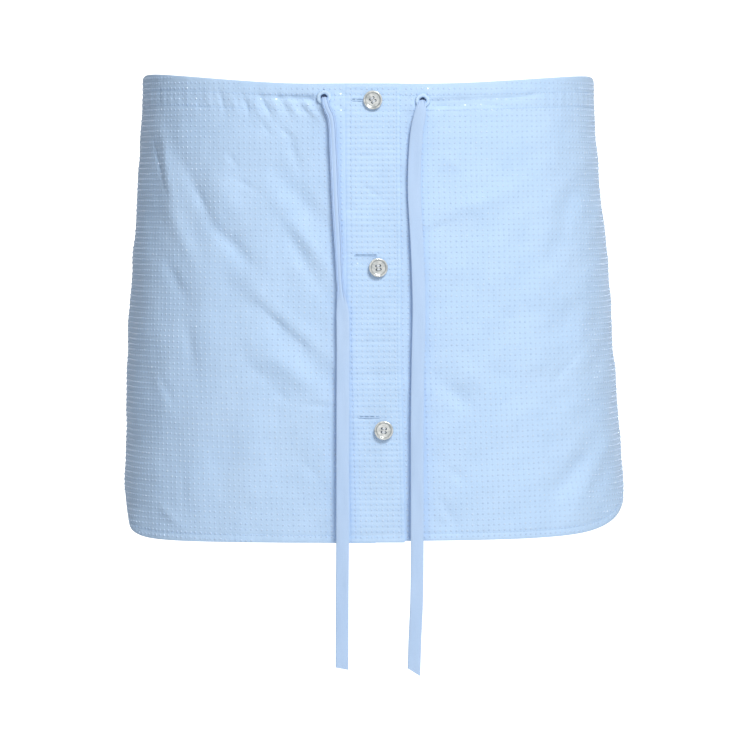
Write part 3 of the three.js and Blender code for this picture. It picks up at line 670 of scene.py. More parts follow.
def swaying(s, wave):
    """A row of waves along s whose phase sways slowly."""
    phase = s * 2 * np.pi / wave["pitch"] + wave["sway"] * np.sin(s / wave["slow"])
    return wave["height"] * np.sin(phase)


def drawn_in(s, below):
    """How far the cord draws the casing in: not between the eyelets, and less towards the sides."""
    between = (s > EYELETS["eyelet_right"][0]) & (s < EYELETS["eyelet_left"][0])
    gap = np.minimum(*[np.abs(s - place[0]) for place in EYELETS.values()])
    corded = np.where(between, 0.0, smoothstep(EYELET_OUTER - 1, EYELET_OUTER + 3, gap))
    tight = bell(np.maximum(np.abs(s) - CINCH["tight"], 0) / CINCH["ease"])
    tight = CINCH["loose"] + (1 - CINCH["loose"]) * tight
    return CINCH["depth"] * corded * tight * bell((below - CINCH["below"]) / CINCH["half_width"])


def relief(s, z, below, above_hem):
    """How far the outer cloth stands off the form: folds and creases that fade into the casing, the
    casing drawn in and gathered by the cord, and dips along the stitches and at the eyelets."""
    fade = smoothstep(0, FOLD_FADE, waist_edge(s) - CASING_DEPTH - z)
    height = fade * (pressed(s, z, FOLDS) + pressed(s, z, CREASES) + undulation(s, z, *UNEVEN))
    height += pressed(s, z, CASING_CREASES) + undulation(s, z, *UNEVEN_FINE) - drawn_in(s, below)
    top = casing_top(s)
    down = below - top - CASING["width"] / 2
    for place, half_width, size, lean, half_length in GATHERS:
        aside = s - place - down * np.tan(np.radians(lean))
        height += size * bell(aside / half_width) * bell((down - 3) / half_length)
    beyond = np.abs(s) - CASING_WAVES_FROM["s"]
    loose = np.where(beyond > 0, 1, bell(beyond / CASING_WAVES_FROM["ease"]))
    height += loose * swaying(s, CASING_WAVES) * bell(down / CASING_WAVES["half_width"])
    for line in (top, top + CASING["width"]):
        height -= STITCH_DIP["casing"] * bell((below - line) / STITCH_DIP["half_width"])
    height -= STITCH_DIP["hem"] * bell((above_hem - HEM_STITCH) / STITCH_DIP["half_width"])
    height += swaying(s, HEM_PUCKER) * bell((above_hem - HEM_STITCH * 0.7) / HEM_PUCKER["half_width"])
    for place_s, place_z in EYELETS.values():
        away = np.hypot(s - place_s, z - place_z)
        height -= EYELET_PIT * (1 - smoothstep(EYELET_INNER - 0.6, EYELET_INNER + 0.9, away))
        height -= EYELET_DIP * bell((away - EYELET_OUTER - 0.3) / 0.8)
    return height + panel_lift(s, z)


def band_middle(z):
    """Where the button band's middle lies at level z."""
    return BAND_WAIST + (BAND_HEM - BAND_WAIST) * z / HEM_LEVEL["back"]


def panel_lift(s, z):
    """How far the fronts rise to meet the band: the right front up to the level of the band that is
    sewn to it, the left front half as far where the band lies on it."""
    sewn = s - (band_middle(z) - BAND_WIDTH / 2)
    free = sewn - BAND_WIDTH
    right = LAP["right"] * smoothstep(-LAP["reach"], 0, sewn) * (1 - smoothstep(0, 2.6, sewn))
    left = LAP["left"] * (1 - smoothstep(0, LAP["reach"], free))
    return np.where(sewn < BAND_OVERLAP + SEAM_GAP / 2, right, left)


def cloth_points(s, z, level, lift):
    """Points of the outer cloth at s and z, raised by its relief and lift, for a hem at level."""
    shape = s.shape
    s, z, lift = (np.broadcast_to(a, shape).ravel().astype(float) for a in (s, z, lift))
    below, above_hem = waist_edge(s) - z, z - hem_edge(s, level)
    point, normal = form_at(s, z)
    out = relief(s, z, below, above_hem) + lift
    return (point + normal * out[:, None]).reshape(*shape, 3), normal.reshape(*shape, 3)


# Where each panel is measured to share out its rows and columns, and the length down it.
PANEL_MIDDLE = -150.0
PANEL_LENGTH = 304.0
EDGE_COLUMNS = [0, 0.4, 1.2]


def panel_grid(start, end, level, across_step, down_step):
    """s and z over a panel, and the way across it. Rows lie at TOP_ROWS below the waist edge and
    BOTTOM_ROWS above the hem, with even rows between, INNER_EVERY to each row of the wall's inside.
    Columns are even from start to end, with closer ones inside each edge."""
    width = float(end(np.array(PANEL_MIDDLE)) - start(np.array(PANEL_MIDDLE)))
    edge = np.array(EDGE_COLUMNS) / width
    count = int((width - 2 * EDGE_COLUMNS[-1]) / across_step)
    share = np.concatenate([edge[:2], np.linspace(edge[2], 1 - edge[2], count), 1 - edge[1::-1]])
    count = int((PANEL_LENGTH - TOP_ROWS[-1] - BOTTOM_ROWS[-1]) / down_step)
    count += (-(count + len(TOP_ROWS) + len(BOTTOM_ROWS) - 1)) % INNER_EVERY
    inner = np.linspace(0, 1, count + 2)[1:-1, None]
    z = np.full((len(TOP_ROWS) + count + len(BOTTOM_ROWS), len(share)), PANEL_MIDDLE)
    for _ in range(3):
        top_s, hem_s = (start(row) + (end(row) - start(row)) * share for row in (z[0], z[-1]))
        high = waist_edge(top_s) - np.array(TOP_ROWS)[:, None]
        low = hem_edge(hem_s, level) + np.array(BOTTOM_ROWS)[::-1, None]
        z = np.concatenate([high, high[-1] + (low[0] - high[-1]) * inner, low])
    return start(z) + (end(z) - start(z)) * share, z, share * width


def wall_faces(rows, columns):
    """A closed wall: an outer grid of points, an inner grid with only some of its rows, strips that
    join them at the top and bottom, and polygons down both upright edges."""
    inner_rows = (rows - 1) // INNER_EVERY + 1
    first = rows * columns
    faces = [grid_faces(rows, columns), grid_faces(inner_rows, columns, first=first, flip=True)]
    i = np.arange(columns - 1)
    low, low_inner = (rows - 1) * columns + i, first + (inner_rows - 1) * columns + i
    faces.append(np.stack([i, i + 1, first + i + 1, first + i], axis=1))
    faces.append(np.stack([low, low_inner, low_inner + 1, low + 1], axis=1))
    k = np.arange(inner_rows - 1)
    for column, flip in ((0, False), (columns - 1, True)):
        steps = range(INNER_EVERY, -1, -1)
        outer = [(k * INNER_EVERY + step) * columns + column for step in steps]
        inner = [first + k * columns + column, first + (k + 1) * columns + column]
        cap = np.stack(outer + inner, axis=1)
        faces.append(cap[:, ::-1] if flip else cap)
    return faces


def add_wall(name, outer, inner, uv, material, inside_out=False):
    """The wall's object, on the piece's own body in place of its solid."""
    faces = wall_faces(*outer.shape[:2])
    faces = [f[:, ::-1] for f in faces] if inside_out else faces
    points = np.concatenate([outer.reshape(-1, 3), inner.reshape(-1, 3)])
    uv = np.concatenate([uv.reshape(-1, 2), uv[::INNER_EVERY].reshape(-1, 2) + 0.5])
    made = add_mesh(f"cloth_{name}", points, faces, material, uv)
    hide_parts(name)
    return made


# How the cloth is rounded outside and thinned inside at its edges, and how thick it is where doubled.
ROUNDED = {"height": 0.3, "most": 0.42, "side": 0.45, "end": 0.5}
THINNED = {"depth": 0.12, "reach": 0.6}
DOUBLED = 1.7


def make_wall(name, grid, level, raised, thickness, material):
    """A panel of cloth as a thin closed wall, rounded at its edges, replacing its solid. The casing
    and the hem are of doubled cloth."""
    s, z, across = grid
    raised, thickness = np.broadcast_to(raised, s.shape), np.broadcast_to(thickness, s.shape)
    below, above_hem = waist_edge(s) - z, z - hem_edge(s, level)
    inset = np.minimum(across, across[-1] - across)
    rounded = bell(inset / ROUNDED["side"]) + bell(below / ROUNDED["end"]) + bell(above_hem / ROUNDED["end"])
    rounded = np.minimum(ROUNDED["height"] * rounded, ROUNDED["most"])
    outer, _ = cloth_points(s, z, level, raised - rounded)
    doubled = (below < CASING_DEPTH + 0.5) | (above_hem < HEM_STITCH + 1)
    thinned = bell(below / THINNED["reach"]) + bell(above_hem / THINNED["reach"])
    deep = np.where(doubled, DOUBLED, 1.0) * thickness - THINNED["depth"] * thinned
    some = slice(None, None, INNER_EVERY)
    inner, _ = cloth_points(s[some], z[some], level, (raised - deep)[some])
    made = add_wall(name, outer, inner, np.stack([s, z], axis=-1), material)
    return made


def right_edge(z):
    """Where the wearer's right front ends, under the button band."""
    return band_middle(z) - BAND_WIDTH / 2 + BAND_OVERLAP


def left_edge(z):
    """Where the wearer's left front starts, beside it."""
    return right_edge(z) + SEAM_GAP


def side_start(z):
    """The right front's edge at its side seam."""
    return SIDE_SEAM / 2 - arc(FRONT_LENGTH, z)


def side_end(z):
    """The left front's edge at its side seam."""
    return arc(FRONT_LENGTH, z) - SIDE_SEAM / 2


def back_start(z):
    """The back's edge at the wearer's left side seam."""
    return arc(FRONT_LENGTH, z) + SIDE_SEAM / 2


def back_end(z):
    """The back's edge at the wearer's right side seam."""
    return arc(FRONT_LENGTH, z) + 2 * arc(BACK_LENGTH, z) - SIDE_SEAM / 2


# Each panel: its two upright edges, its flat size and the steps of its grid across and down.
PANELS = {
    "front_right": (side_start, right_edge, (0.222, 0.318), (1.25, 1.5)),
    "front_left": (left_edge, side_end, (0.248, 0.318), (1.25, 1.5)),
    "back": (back_start, back_end, (0.478, 0.318), (2.0, 2.0)),
}
CLOTH_COLOURS = ((0.545, 0.727, 0.985), (0.475, 0.67, 0.95))
studded_cotton = poplin("studded_cotton", *CLOTH_COLOURS)
for panel_name, (start, end, flat, steps) in PANELS.items():
    level = HEM_LEVEL[panel_name]
    grid = panel_grid(start, end, level, *steps)
    make_wall(panel_name, grid, level, 0.0, CLOTH, studded_cotton)


# The button band
# A straight strip of the same cloth, doubled, sewn to the wearer's right front along one edge. It
# laps over the left front and holds the buttons.

BAND_LIFT = LAY_GAP + WALL
BAND_CLOTH = 0.5
# Along its sewn edge the band is pressed thin, this far in.
BAND_SEWN = {"cloth": 0.25, "reach": 3.5}


def band_start(z):
    """Where the band's sewn edge lies at level z."""
    return band_middle(z) - BAND_WIDTH / 2


def band_end(z):
    """Where the band's free edge lies at level z."""
    return band_middle(z) + BAND_WIDTH / 2


def band_lift(s, z):
    """How far the band's face stands above that of the front beneath it."""
    return BAND_LIFT - panel_lift(s, z)


def band_cloth(s, z):
    """The band's thickness: thin at its sewn edge."""
    sewn = smoothstep(0, BAND_SEWN["reach"], s - band_start(z))
    return BAND_SEWN["cloth"] + (BAND_CLOTH - BAND_SEWN["cloth"]) * sewn


ROW_PITCH = 3.62
FIRST_ROW = 1.6
# The rows of stones pucker the doubled cloth between them a little; the puckers' shade and light are painted
# into its colour as stripes.
row_shaded_cotton = poplin("row_shaded_cotton", *CLOTH_COLOURS, rows=(FIRST_ROW, ROW_PITCH, 0.42))
band_level = HEM_LEVEL["front_right"]
band_grid = panel_grid(band_start, band_end, band_level, 1.0, 1.4)
band_lifts, band_cloths = band_lift(*band_grid[:2]), band_cloth(*band_grid[:2])
make_wall("button_band", band_grid, band_level, band_lifts, band_cloths, row_shaded_cotton)


# The small stones
# Clear flat-backed stones 1.6 mm across, glued on in straight rows over all the outer cloth before
# it was cut. Rows are square to each panel's middle, so they rise a little towards the side seams.

STONE_RADIUS = 0.8
STONE_TABLE = 0.56
STONE_HEIGHT = 0.28
STONE_SINK = 0.1
STONE_SIDES = 6
COLUMN_PITCH = 3.6
FLARE_RADIUS = 3180
FIELD_COLUMNS = 70
FIELD_ROWS = 96
# How far stones keep from upright edges, from the waist edge and from the hem.
STONE_CLEAR = {"side": 1.3, "top": 1.5, "hem": 1.3}
# Chance: shift in mm, tilt as a slope and size, as standard deviations.
STONE_CHANCE = {"shift": 0.07, "tilt": 0.055, "size": 0.03}


def stone_grid(start, end, level, middle, skip):
    """s and z of each stone on a panel: columns keep their distance from the panel's middle and
    each row rises by s^2 / 2R, as straight rows do on a flared piece. Stones near the edges or in
    a circle to skip are left out."""
    columns = np.arange(-FIELD_COLUMNS, FIELD_COLUMNS + 1) * COLUMN_PITCH
    away, z = (a.ravel() for a in np.meshgrid(columns, -np.arange(FIELD_ROWS) * ROW_PITCH))
    z = z + away**2 / (2 * FLARE_RADIUS) - FIRST_ROW
    s = away + middle(z)
    inside = (s > start(z) + STONE_CLEAR["side"]) & (s < end(z) - STONE_CLEAR["side"])
    inside &= (waist_edge(s) - z > STONE_CLEAR["top"]) & (z - hem_edge(s, level) > STONE_CLEAR["hem"])
    for centre_s, centre_z, radius in skip:
        inside &= np.hypot(s - centre_s, z - centre_z) > radius
    return s[inside], z[inside]


def scatter(shape, faces, centres, axes):
    """Points and faces of a copy of a small shape at each centre, along that place's own axes."""
    points = centres[:, None] + np.einsum("nk,ckj->cnj", shape, axes)
    first = len(shape) * np.arange(len(centres))[:, None, None]
    return points.reshape(-1, 3), [(group + first).reshape(-1, group.shape[1]) for group in faces]


def stone_shape():
    """A hexagon just under the cloth, joined by triangles to a smaller one turned half a side, its
    flat table."""
    foot = circle(STONE_RADIUS, STONE_SIDES, -STONE_SINK)
    table = circle(STONE_TABLE, STONE_SIDES, STONE_HEIGHT, 0.5)
    i = np.arange(STONE_SIDES)
    following = (i + 1) % STONE_SIDES
    girdle = np.stack([i, following, STONE_SIDES + i], axis=1)
    crown = np.stack([STONE_SIDES + i, following, STONE_SIDES + following], axis=1)
    faces = [np.concatenate([girdle, crown]), STONE_SIDES + i[None], i[None, ::-1]]
    return np.concatenate([foot, table]), faces


def make_stones(name, s, z, level, raised, seed):
    """Every stone as one joined mesh, each turned, tilted, sized and shifted a little by chance."""
    chance = np.random.default_rng(seed)
    count = len(s)
    s = s + chance.normal(0, STONE_CHANCE["shift"], count)
    z = z + chance.normal(0, STONE_CHANCE["shift"], count)
    reach = 0.8
    places = [(0, 0), (reach, 0), (-reach, 0), (0, reach), (0, -reach)]
    points = [cloth_points(s + ds, z + dz, level, raised)[0] for ds, dz in places]
    across = unit(points[1] - points[2])
    out = unit(np.cross(across, points[3] - points[4]))
    tilt = chance.normal(0, STONE_CHANCE["tilt"], (count, 2))
    out = unit(out + across * tilt[:, :1] + np.cross(out, across) * tilt[:, 1:])
    across = unit(across - (across * out).sum(1, keepdims=True) * out)
    upward = np.cross(out, across)
    size = chance.normal(1, STONE_CHANCE["size"], (count, 1))
    turn = chance.uniform(0, np.pi / 3, (count, 1))
    turned = across * np.cos(turn) + upward * np.sin(turn)
    axes = np.stack([turned * size, np.cross(out, turned) * size, out], axis=1)
    stones = add_mesh(name, *scatter(*stone_shape(), points[0], axes), clear_stone, sharp=5)
    stones.data.polygons.foreach_set("use_smooth", np.zeros(len(stones.data.polygons), bool))
    return stones


STONE_CAST_SCALE = 420.0


def stone_material():
    """Clear cut glass with a pale foil behind it: it shows a paler, greyer blue than the cloth and
    mirrors the light from its facets."""
    stone = Surface("clear_stone", roughness=0.24)
    stone.set("IOR", 1.68)
    cast = stone.noise(stone.object_place(), STONE_CAST_SCALE, 0.0)
    stone.set("Base Color", stone.mix(cast, (0.43, 0.61, 0.90), (0.62, 0.765, 0.975)))
    return stone.material


clear_stone = stone_material()
EYELET_CLEAR = [(*place, EYELET_OUTER + 1.0) for place in EYELETS.values()]


def front_middle(z):
    """The centre front's place at any level."""
    return 0 * z


def up_to_band(z):
    """Just under the band's sewn edge."""
    return band_start(z) + 0.6


def from_band(z):
    """Just under the band's free edge."""
    return band_end(z) - 0.6


# Each field of stones: its panel, its edges and the line that its rows are square to.
STONE_FIELDS = {
    "front_right": ("front_right", side_start, up_to_band, front_middle),
    "front_left": ("front_left", from_band, side_end, front_middle),
    "back_left": ("back", back_start, half_girth, half_girth),
    "back_right": ("back", half_girth, back_end, half_girth),
}
for seed, (field, (panel_name, start, end, middle)) in enumerate(STONE_FIELDS.items()):
    level = HEM_LEVEL[panel_name]
    s, z = stone_grid(start, end, level, middle, EYELET_CLEAR)
    make_stones(f"stones_{field}", s, z, level, 0.0, seed)
# Each button: s, z, turn about its axis and tilts in degrees.
BUTTONS = {
    "button_top": (3.2, -23.8, 35, 0, 0),
    "button_middle": (5.3, -134.8, 8, -2, 6),
    "button_bottom": (7.3, -242.4, -6, -2, 4),
}
BUTTON_CLEAR = [(s, z, 6.8) for s, z, *_ in BUTTONS.values()]
band_s, band_z = stone_grid(band_start, band_end, band_level, band_middle, BUTTON_CLEAR)
make_stones("stones_band", band_s, band_z, band_level, band_lift(band_s, band_z), len(STONE_FIELDS))


# The stitching
# Blue polyester thread, eleven stitches to 25 mm: two rows round the casing, one round the hem, and
# one down each edge of the band. Each stitch lies in the dip that it pulls in the cloth.

STITCH_LENGTH = 1.75
STITCH_PITCH = 2.3
STITCH_RADIUS = 0.17
# A stitch from end to end: place as a share of half its length, share of its radius, height.
STITCH_SHAPE = [(-1.0, 0.25, -0.12), (-0.6, 1.0, 0.06), (0.6, 1.0, 0.06), (1.0, 0.25, -0.12)]
STITCH_SIDES = 6
STITCH_END = 0.6


def make_stitches(name, points, normals):
    """A row of stitches along a line of points: each a bead of six sides, thickest in its middle,
    laid along the line."""
    way = way_along(points)
    middles = np.arange(STITCH_PITCH, way[-1] - STITCH_PITCH / 2, STITCH_PITCH)
    forward = unit(on_line(points, way, middles + 0.5) - on_line(points, way, middles - 0.5))
    up = unit(on_line(normals, way, middles))
    rings = []
    for end, thick, height in STITCH_SHAPE:
        ring = circle(STITCH_RADIUS * thick, STITCH_SIDES, end * STITCH_LENGTH / 2)
        rings.append(ring[:, [2, 0, 1]] + (0, 0, height))
    faces = [tube_faces(len(rings), STITCH_SIDES)]
    axes = np.stack([forward, np.cross(up, forward), up], axis=1)
    placed = scatter(np.concatenate(rings), faces, on_line(points, way, middles), axes)
    made = add_mesh(name, *placed, thread)
    return made


def thread_material():
    """Twisted polyester thread: fine slanting ridges and a soft shine."""
    surface = Surface("blue_thread", roughness=0.45, base_color=(0.44, 0.62, 0.88))
    place = surface.object_place()
    ridges = surface.node(
        "ShaderNodeTexWave", {"bands_direction": "DIAGONAL"}, {"Vector": place, "Scale": 900.0}
    )
    surface.set("Normal", surface.bump(ridges, 0.05, 0.4))
    return surface.material


thread = thread_material()


def level_line(start, end, level, edge):
    """Points and normals along a level line of the cloth, whose level goes by edge(s)."""
    s = np.linspace(start, end, int(abs(end - start) / 0.8) + 2)
    return cloth_points(s, edge(s), level, 0.02)


def upright_line(offset):
    """Points and normals down the band, a fixed way in from its sewn edge."""
    z = np.linspace(-10, band_level, 420)
    s = band_start(z) + offset
    clear = STITCH_END + 0.2
    keep = (waist_edge(s) - z > clear) & (z - hem_edge(s, band_level) > clear)
    return cloth_points(s[keep], z[keep], band_level, band_lift(s[keep], z[keep]) + 0.03)


def casing_upper(s):
    """The level of the casing's upper row of stitches."""
    return waist_edge(s) - casing_top(s)


def casing_lower(s):
    """The level of the casing's lower row of stitches."""
    return casing_upper(s) - CASING["width"]


# Level rows of stitches end this far from a panel's upright edges, measured at these levels.
CASING_END_LEVEL = -15.0
HEM_END_ABOVE = 20.0
for panel_name, (start, end, _, _) in PANELS.items():
    level = HEM_LEVEL[panel_name]

    def hem_row(s):
        """The level of this panel's row of stitches above its hem."""
        return hem_edge(s, level) + HEM_STITCH

    rows = {
        "casing_upper": (casing_upper, CASING_END_LEVEL),
        "casing_lower": (casing_lower, CASING_END_LEVEL),
        "hem": (hem_row, level + HEM_END_ABOVE),
    }
    for row_name, (edge, end_level) in rows.items():
        first, last = float(start(np.array(end_level))), float(end(np.array(end_level)))
        line = level_line(first + STITCH_END, last - STITCH_END, level, edge)
        make_stitches(f"stitches_{row_name}_{panel_name}", *line)

for side, offset in (("sewn", 4.0), ("free", BAND_WIDTH - 2.0)):
    make_stitches(f"stitches_band_{side}", *upright_line(offset))


# The eyelets
# Two holes in the casing, overcast all round with close thread so the cord can pass.


def surface_frame(s, z, level, lift):
    """The cloth's point at s and z, raised by lift, and the directions across, up and out of the
    cloth round it."""
    reach = 6.0
    places = np.array([(0, 0), (reach, 0), (-reach, 0), (0, reach), (0, -reach)])
    points, _ = cloth_points(s + places[:, 0], z + places[:, 1], level, 0.0)
    across = unit(points[1] - points[2])
    out = unit(np.cross(across, points[3] - points[4]))
    return points[0] + out * lift, across, np.cross(out, across), out


def long_ring(half_length, radius, count):
    """Even points round a slot with round ends, and the outward direction at each: a circle of the
    radius whose two halves are moved apart by the half length."""
    turn = np.linspace(0, 2 * np.pi, 721)
    across = radius * np.cos(turn) + half_length * np.sign(np.cos(turn))
    path = np.stack([across, radius * np.sin(turn)], axis=1)
    way = way_along(path)
    even = np.linspace(0, way[-1], count, endpoint=False)
    points = on_line(path, way, even)
    ends = np.stack([np.clip(points[:, 0], -half_length, half_length), 0 * even], axis=1)
    return points, unit(points - ends), way[-1]


# How the ring is sewn: the pitch of its stitches, their ridges and their unevenness.
OVERCAST = {"pitch": 0.85, "ridge": 0.15, "uneven": 0.08, "height": 0.2}
RINGS_A_STITCH = 6
SHADE_PIECE_SIDES = 24
SHADE_PIECE_DEPTH = 0.4


def make_overcast(name, frame, half_length, inner, outer, thick, pit, sewn_with, shade_kind):
    """A ring of rounded section round a hole, ridged across by its stitches: the section's radius
    goes up and down once for each stitch. A shallow dark piece in the hole is the cloth's inside, its
    darkness painted shade."""
    origin, *axes = frame
    axes = np.array(axes)
    middle, half = (outer + inner) / 2, (outer - inner) / 2
    stitches = int(long_ring(half_length, middle, 8)[2] / OVERCAST["pitch"])
    path, outward, _ = long_ring(half_length, middle, stitches * RINGS_A_STITCH)
    turn = np.arange(stitches * RINGS_A_STITCH)[:, None] / RINGS_A_STITCH
    section = np.linspace(0, 2 * np.pi, 14, endpoint=False)
    ridge = 1 + OVERCAST["ridge"] * np.cos(turn * 2 * np.pi)
    wide = half * ridge * np.cos(section) + OVERCAST["uneven"] * np.sin(turn * 1.3)
    flat = path[:, None] + outward[:, None] * wide[..., None]
    height = OVERCAST["height"] + thick / 2 * ridge * np.sin(section)
    points = origin + np.concatenate([flat, height[..., None]], axis=-1) @ axes
    rows, columns = height.shape
    faces = grid_faces(rows + 1, columns, wrap_columns=True) % (rows * columns)
    made = add_mesh(f"sewn_{name}", points.reshape(-1, 3), [faces], sewn_with)
    # The dark piece in the hole carries painted shade.
    rim = long_ring(half_length, inner + 0.3 * half, SHADE_PIECE_SIDES)[0]
    levels = [np.full((SHADE_PIECE_SIDES, 1), depth - pit) for depth in (0.0, SHADE_PIECE_DEPTH)]
    points = origin + np.concatenate([np.hstack([rim, level]) for level in levels]) @ axes
    i = np.arange(SHADE_PIECE_SIDES)
    ends = np.stack([i[::-1], SHADE_PIECE_SIDES + i])
    wall = grid_faces(2, SHADE_PIECE_SIDES, wrap_columns=True, flip=True)
    inside = add_mesh(f"inside_{name}", points, [wall, ends], shade_kind)
    return made


pale_thread = Surface("pale_thread", roughness=0.5, base_color=(0.55, 0.73, 0.96)).material
# The near-black blue inside the eyelet holes is painted shade.
shaded_cotton = Surface("shaded_cotton", roughness=0.9, base_color=(0.035, 0.06, 0.13)).material
# The ring's inner and outer radius, its thickness and how deep the dark piece of painted shade lies.
EYELET_RING = (EYELET_INNER, EYELET_OUTER, 1.6, 0.9)
for eyelet_name, place in EYELETS.items():
    frame = surface_frame(*place, HEM_LEVEL["front_left"], EYELET_PIT)
    ring = make_overcast(eyelet_name, frame, 0.0, *EYELET_RING, pale_thread, shaded_cotton)
    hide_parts(eyelet_name)


# The buttonholes
# Three level slits in the band, overcast with thread. Each button has come through the slit's
# right part, so the left part shows beside it.

# The dark blue inside each slit is painted shade.
painted_slit_shade = Surface("painted_slit_shade", roughness=0.9, base_color=(0.24, 0.36, 0.57)).material
# Half the slit's length, then as for the eyelets.
BUTTONHOLE_RING = (6.6, 0.3, 1.15, 0.55, 0.12)
BUTTONHOLES = {"top": (-3.6, -23.4), "middle": (-2.8, -126.4), "bottom": (-2.4, -233.2)}
for hole_name, (s, z) in BUTTONHOLES.items():
    frame = surface_frame(s, z, band_level, float(band_lift(np.array(s), z)))
    make_overcast(f"buttonhole_{hole_name}", frame, *BUTTONHOLE_RING, thread, painted_slit_shade)


# The buttons
# Three four-hole shirt buttons of pearly pale-grey resin, 12.7 mm across, with a raised rim and a
# dished middle. They are sewn through the band and stay fastened.

BUTTON_RADIUS = 6.35
BUTTON_CLEARANCE = 0.1
BUTTON_SIDES = 72
HOLE_SIDES = 20
HOLE_RADIUS = 0.85
HOLE_FROM_MIDDLE = 1.65
# The button's side from the middle of its back to the middle of its face: radius and height.
BUTTON_PROFILE = [
    (3.4, 0.00), (5.0, 0.02), (5.6, 0.17), (6.1, 0.55), (6.33, 0.95), (6.35, 1.29), (6.25, 1.63),
    (6.0, 1.87), (5.65, 1.98), (5.3, 1.95), (5.05, 1.82), (4.8, 1.58), (4.5, 1.43), (4.1, 1.37),
    (3.4, 1.35),
]


def drill_holes(disc):
    """The button's mesh with four holes cut through it, halfway between its two main directions."""
    shaft = np.concatenate([circle(HOLE_RADIUS, HOLE_SIDES, height) for height in (-1.0, 4.0)])
    holes = circle(HOLE_FROM_MIDDLE, 4, 0.0, 0.5)
    points = (shaft + holes[:, None]).reshape(-1, 3)
    cutter = bpy.data.meshes.new("drill")
    cutter.from_pydata((points * MM).tolist(), [], tube_faces(2, HOLE_SIDES, len(holes)).tolist())
    cutter_object = bpy.data.objects.new("drill", cutter)
    bpy.context.scene.collection.objects.link(cutter_object)
    drill = disc.modifiers.new("drill", "BOOLEAN")
    drill.operation = "DIFFERENCE"
    drill.object = cutter_object
    drill.solver = "EXACT"
    made = bpy.data.meshes.new_from_object(disc.evaluated_get(bpy.context.evaluated_depsgraph_get()))
    disc.modifiers.clear()
    disc.data = made
    bpy.data.objects.remove(cutter_object)
    return made


def read_mesh(items, field, width=1, kind=np.float32):
    """A field of all a mesh's points, corners or faces, as an array."""
    values = np.empty(len(items) * width, kind)
    items.foreach_get(field, values)
    return values.reshape(-1, width)


def make_button(name, s, z, turn, tilt_x, tilt_y):
    """The profile turned about its axis, its face and back filled, and four holes drilled. It lies
    on the band, lifted as far as its tilt lowers its edge."""
    points = np.concatenate([circle(radius, BUTTON_SIDES, height) for radius, height in BUTTON_PROFILE])
    rows = len(BUTTON_PROFILE)
    rim = np.arange(BUTTON_SIDES)[None]
    side = grid_faces(rows, BUTTON_SIDES, wrap_columns=True, flip=True)
    faces = [side, rim[:, ::-1], rim + (rows - 1) * BUTTON_SIDES]
    disc = add_mesh(f"pearl_{name}", points, faces, pearl)
    made = drill_holes(disc)
    local = read_mesh(made.vertices, "co", 3)
    corners = read_mesh(made.loops, "vertex_index", kind=np.int32)[:, 0]
    made.uv_layers.new(name="cloth").data.foreach_set("uv", local[corners, :2].ravel())
    middles = np.abs(read_mesh(made.polygons, "center", 3)[:, :2] / MM)
    # Faces of the drilled holes' walls, which take a near-black painted shade.
    drilled = np.hypot(*(middles - HOLE_FROM_MIDDLE / np.sqrt(2)).T) < HOLE_RADIUS * 1.01
    lift = float(band_lift(np.array(s), z)) + BUTTON_CLEARANCE
    lift += 0.8 * BUTTON_RADIUS * np.sin(np.radians(np.hypot(tilt_x, tilt_y)))
    origin, *axes = surface_frame(s, z, band_level, lift)
    tilted = np.array(Euler(np.radians((tilt_x, tilt_y, turn)), "ZYX").to_matrix())
    turned = np.transpose(axes) @ tilted
    placed = local @ turned.T + origin * MM
    made.vertices.foreach_set("co", placed.astype(np.float32).ravel())
    made.update()
    made.polygons.foreach_set("use_smooth", np.ones(len(made.polygons), bool))
    made.set_sharp_from_angle(angle=np.radians(40))
    made.materials.clear()
    made.materials.append(pearl)
    made.materials.append(painted_hole_shade)
    made.polygons.foreach_set("material_index", drilled.astype(np.int32))
    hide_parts(name)
    sew_button(name, turned, origin)
    return disc


# A strand from hole to hole: its radius, how far apart strands lie, how far past the hole's middle
# they reach, how high they arch and how far from the middle, as a share, they start to sink.
STRAND = {"radius": 0.17, "apart": 0.30, "past": 0.28, "height": 1.62, "sink": 4.5, "from": 0.72}
STRAND_POINTS = 13
STRAND_SIDES = 6


def sew_button(name, turned, origin):
    """Two bars of thread through the holes, each three strands side by side, arched over the face
    and sunk at both ends into the holes."""
    hole = HOLE_FROM_MIDDLE / np.sqrt(2)
    way = np.linspace(-1, 1, STRAND_POINTS)
    ring = circle(STRAND["radius"], STRAND_SIDES)[:, [2, 0, 1]]
    strands = []
    for bar in (-1, 1):
        for strand in (-1, 0, 1):
            y = bar * hole + strand * STRAND["apart"] + 0.04 * np.sin(way * 3 + strand)
            sunk = STRAND["sink"] * np.clip(np.abs(way) - STRAND["from"], 0, 1)
            height = STRAND["height"] - sunk + 0.03 * strand
            line = np.stack([way * (hole + STRAND["past"]), y, height], axis=1)
            strands.append(line[:, None] + ring)
    points = np.concatenate(strands).reshape(-1, 3) @ turned.T + origin
    faces = [tube_faces(STRAND_POINTS, STRAND_SIDES, len(strands))]
    made = add_mesh(f"thread_{name}", points, faces, white_thread)
    return made


CLOUD_SCALE = 260.0
GROOVE = {"radius": 4.9, "half_width": 0.45, "shade": 0.5}


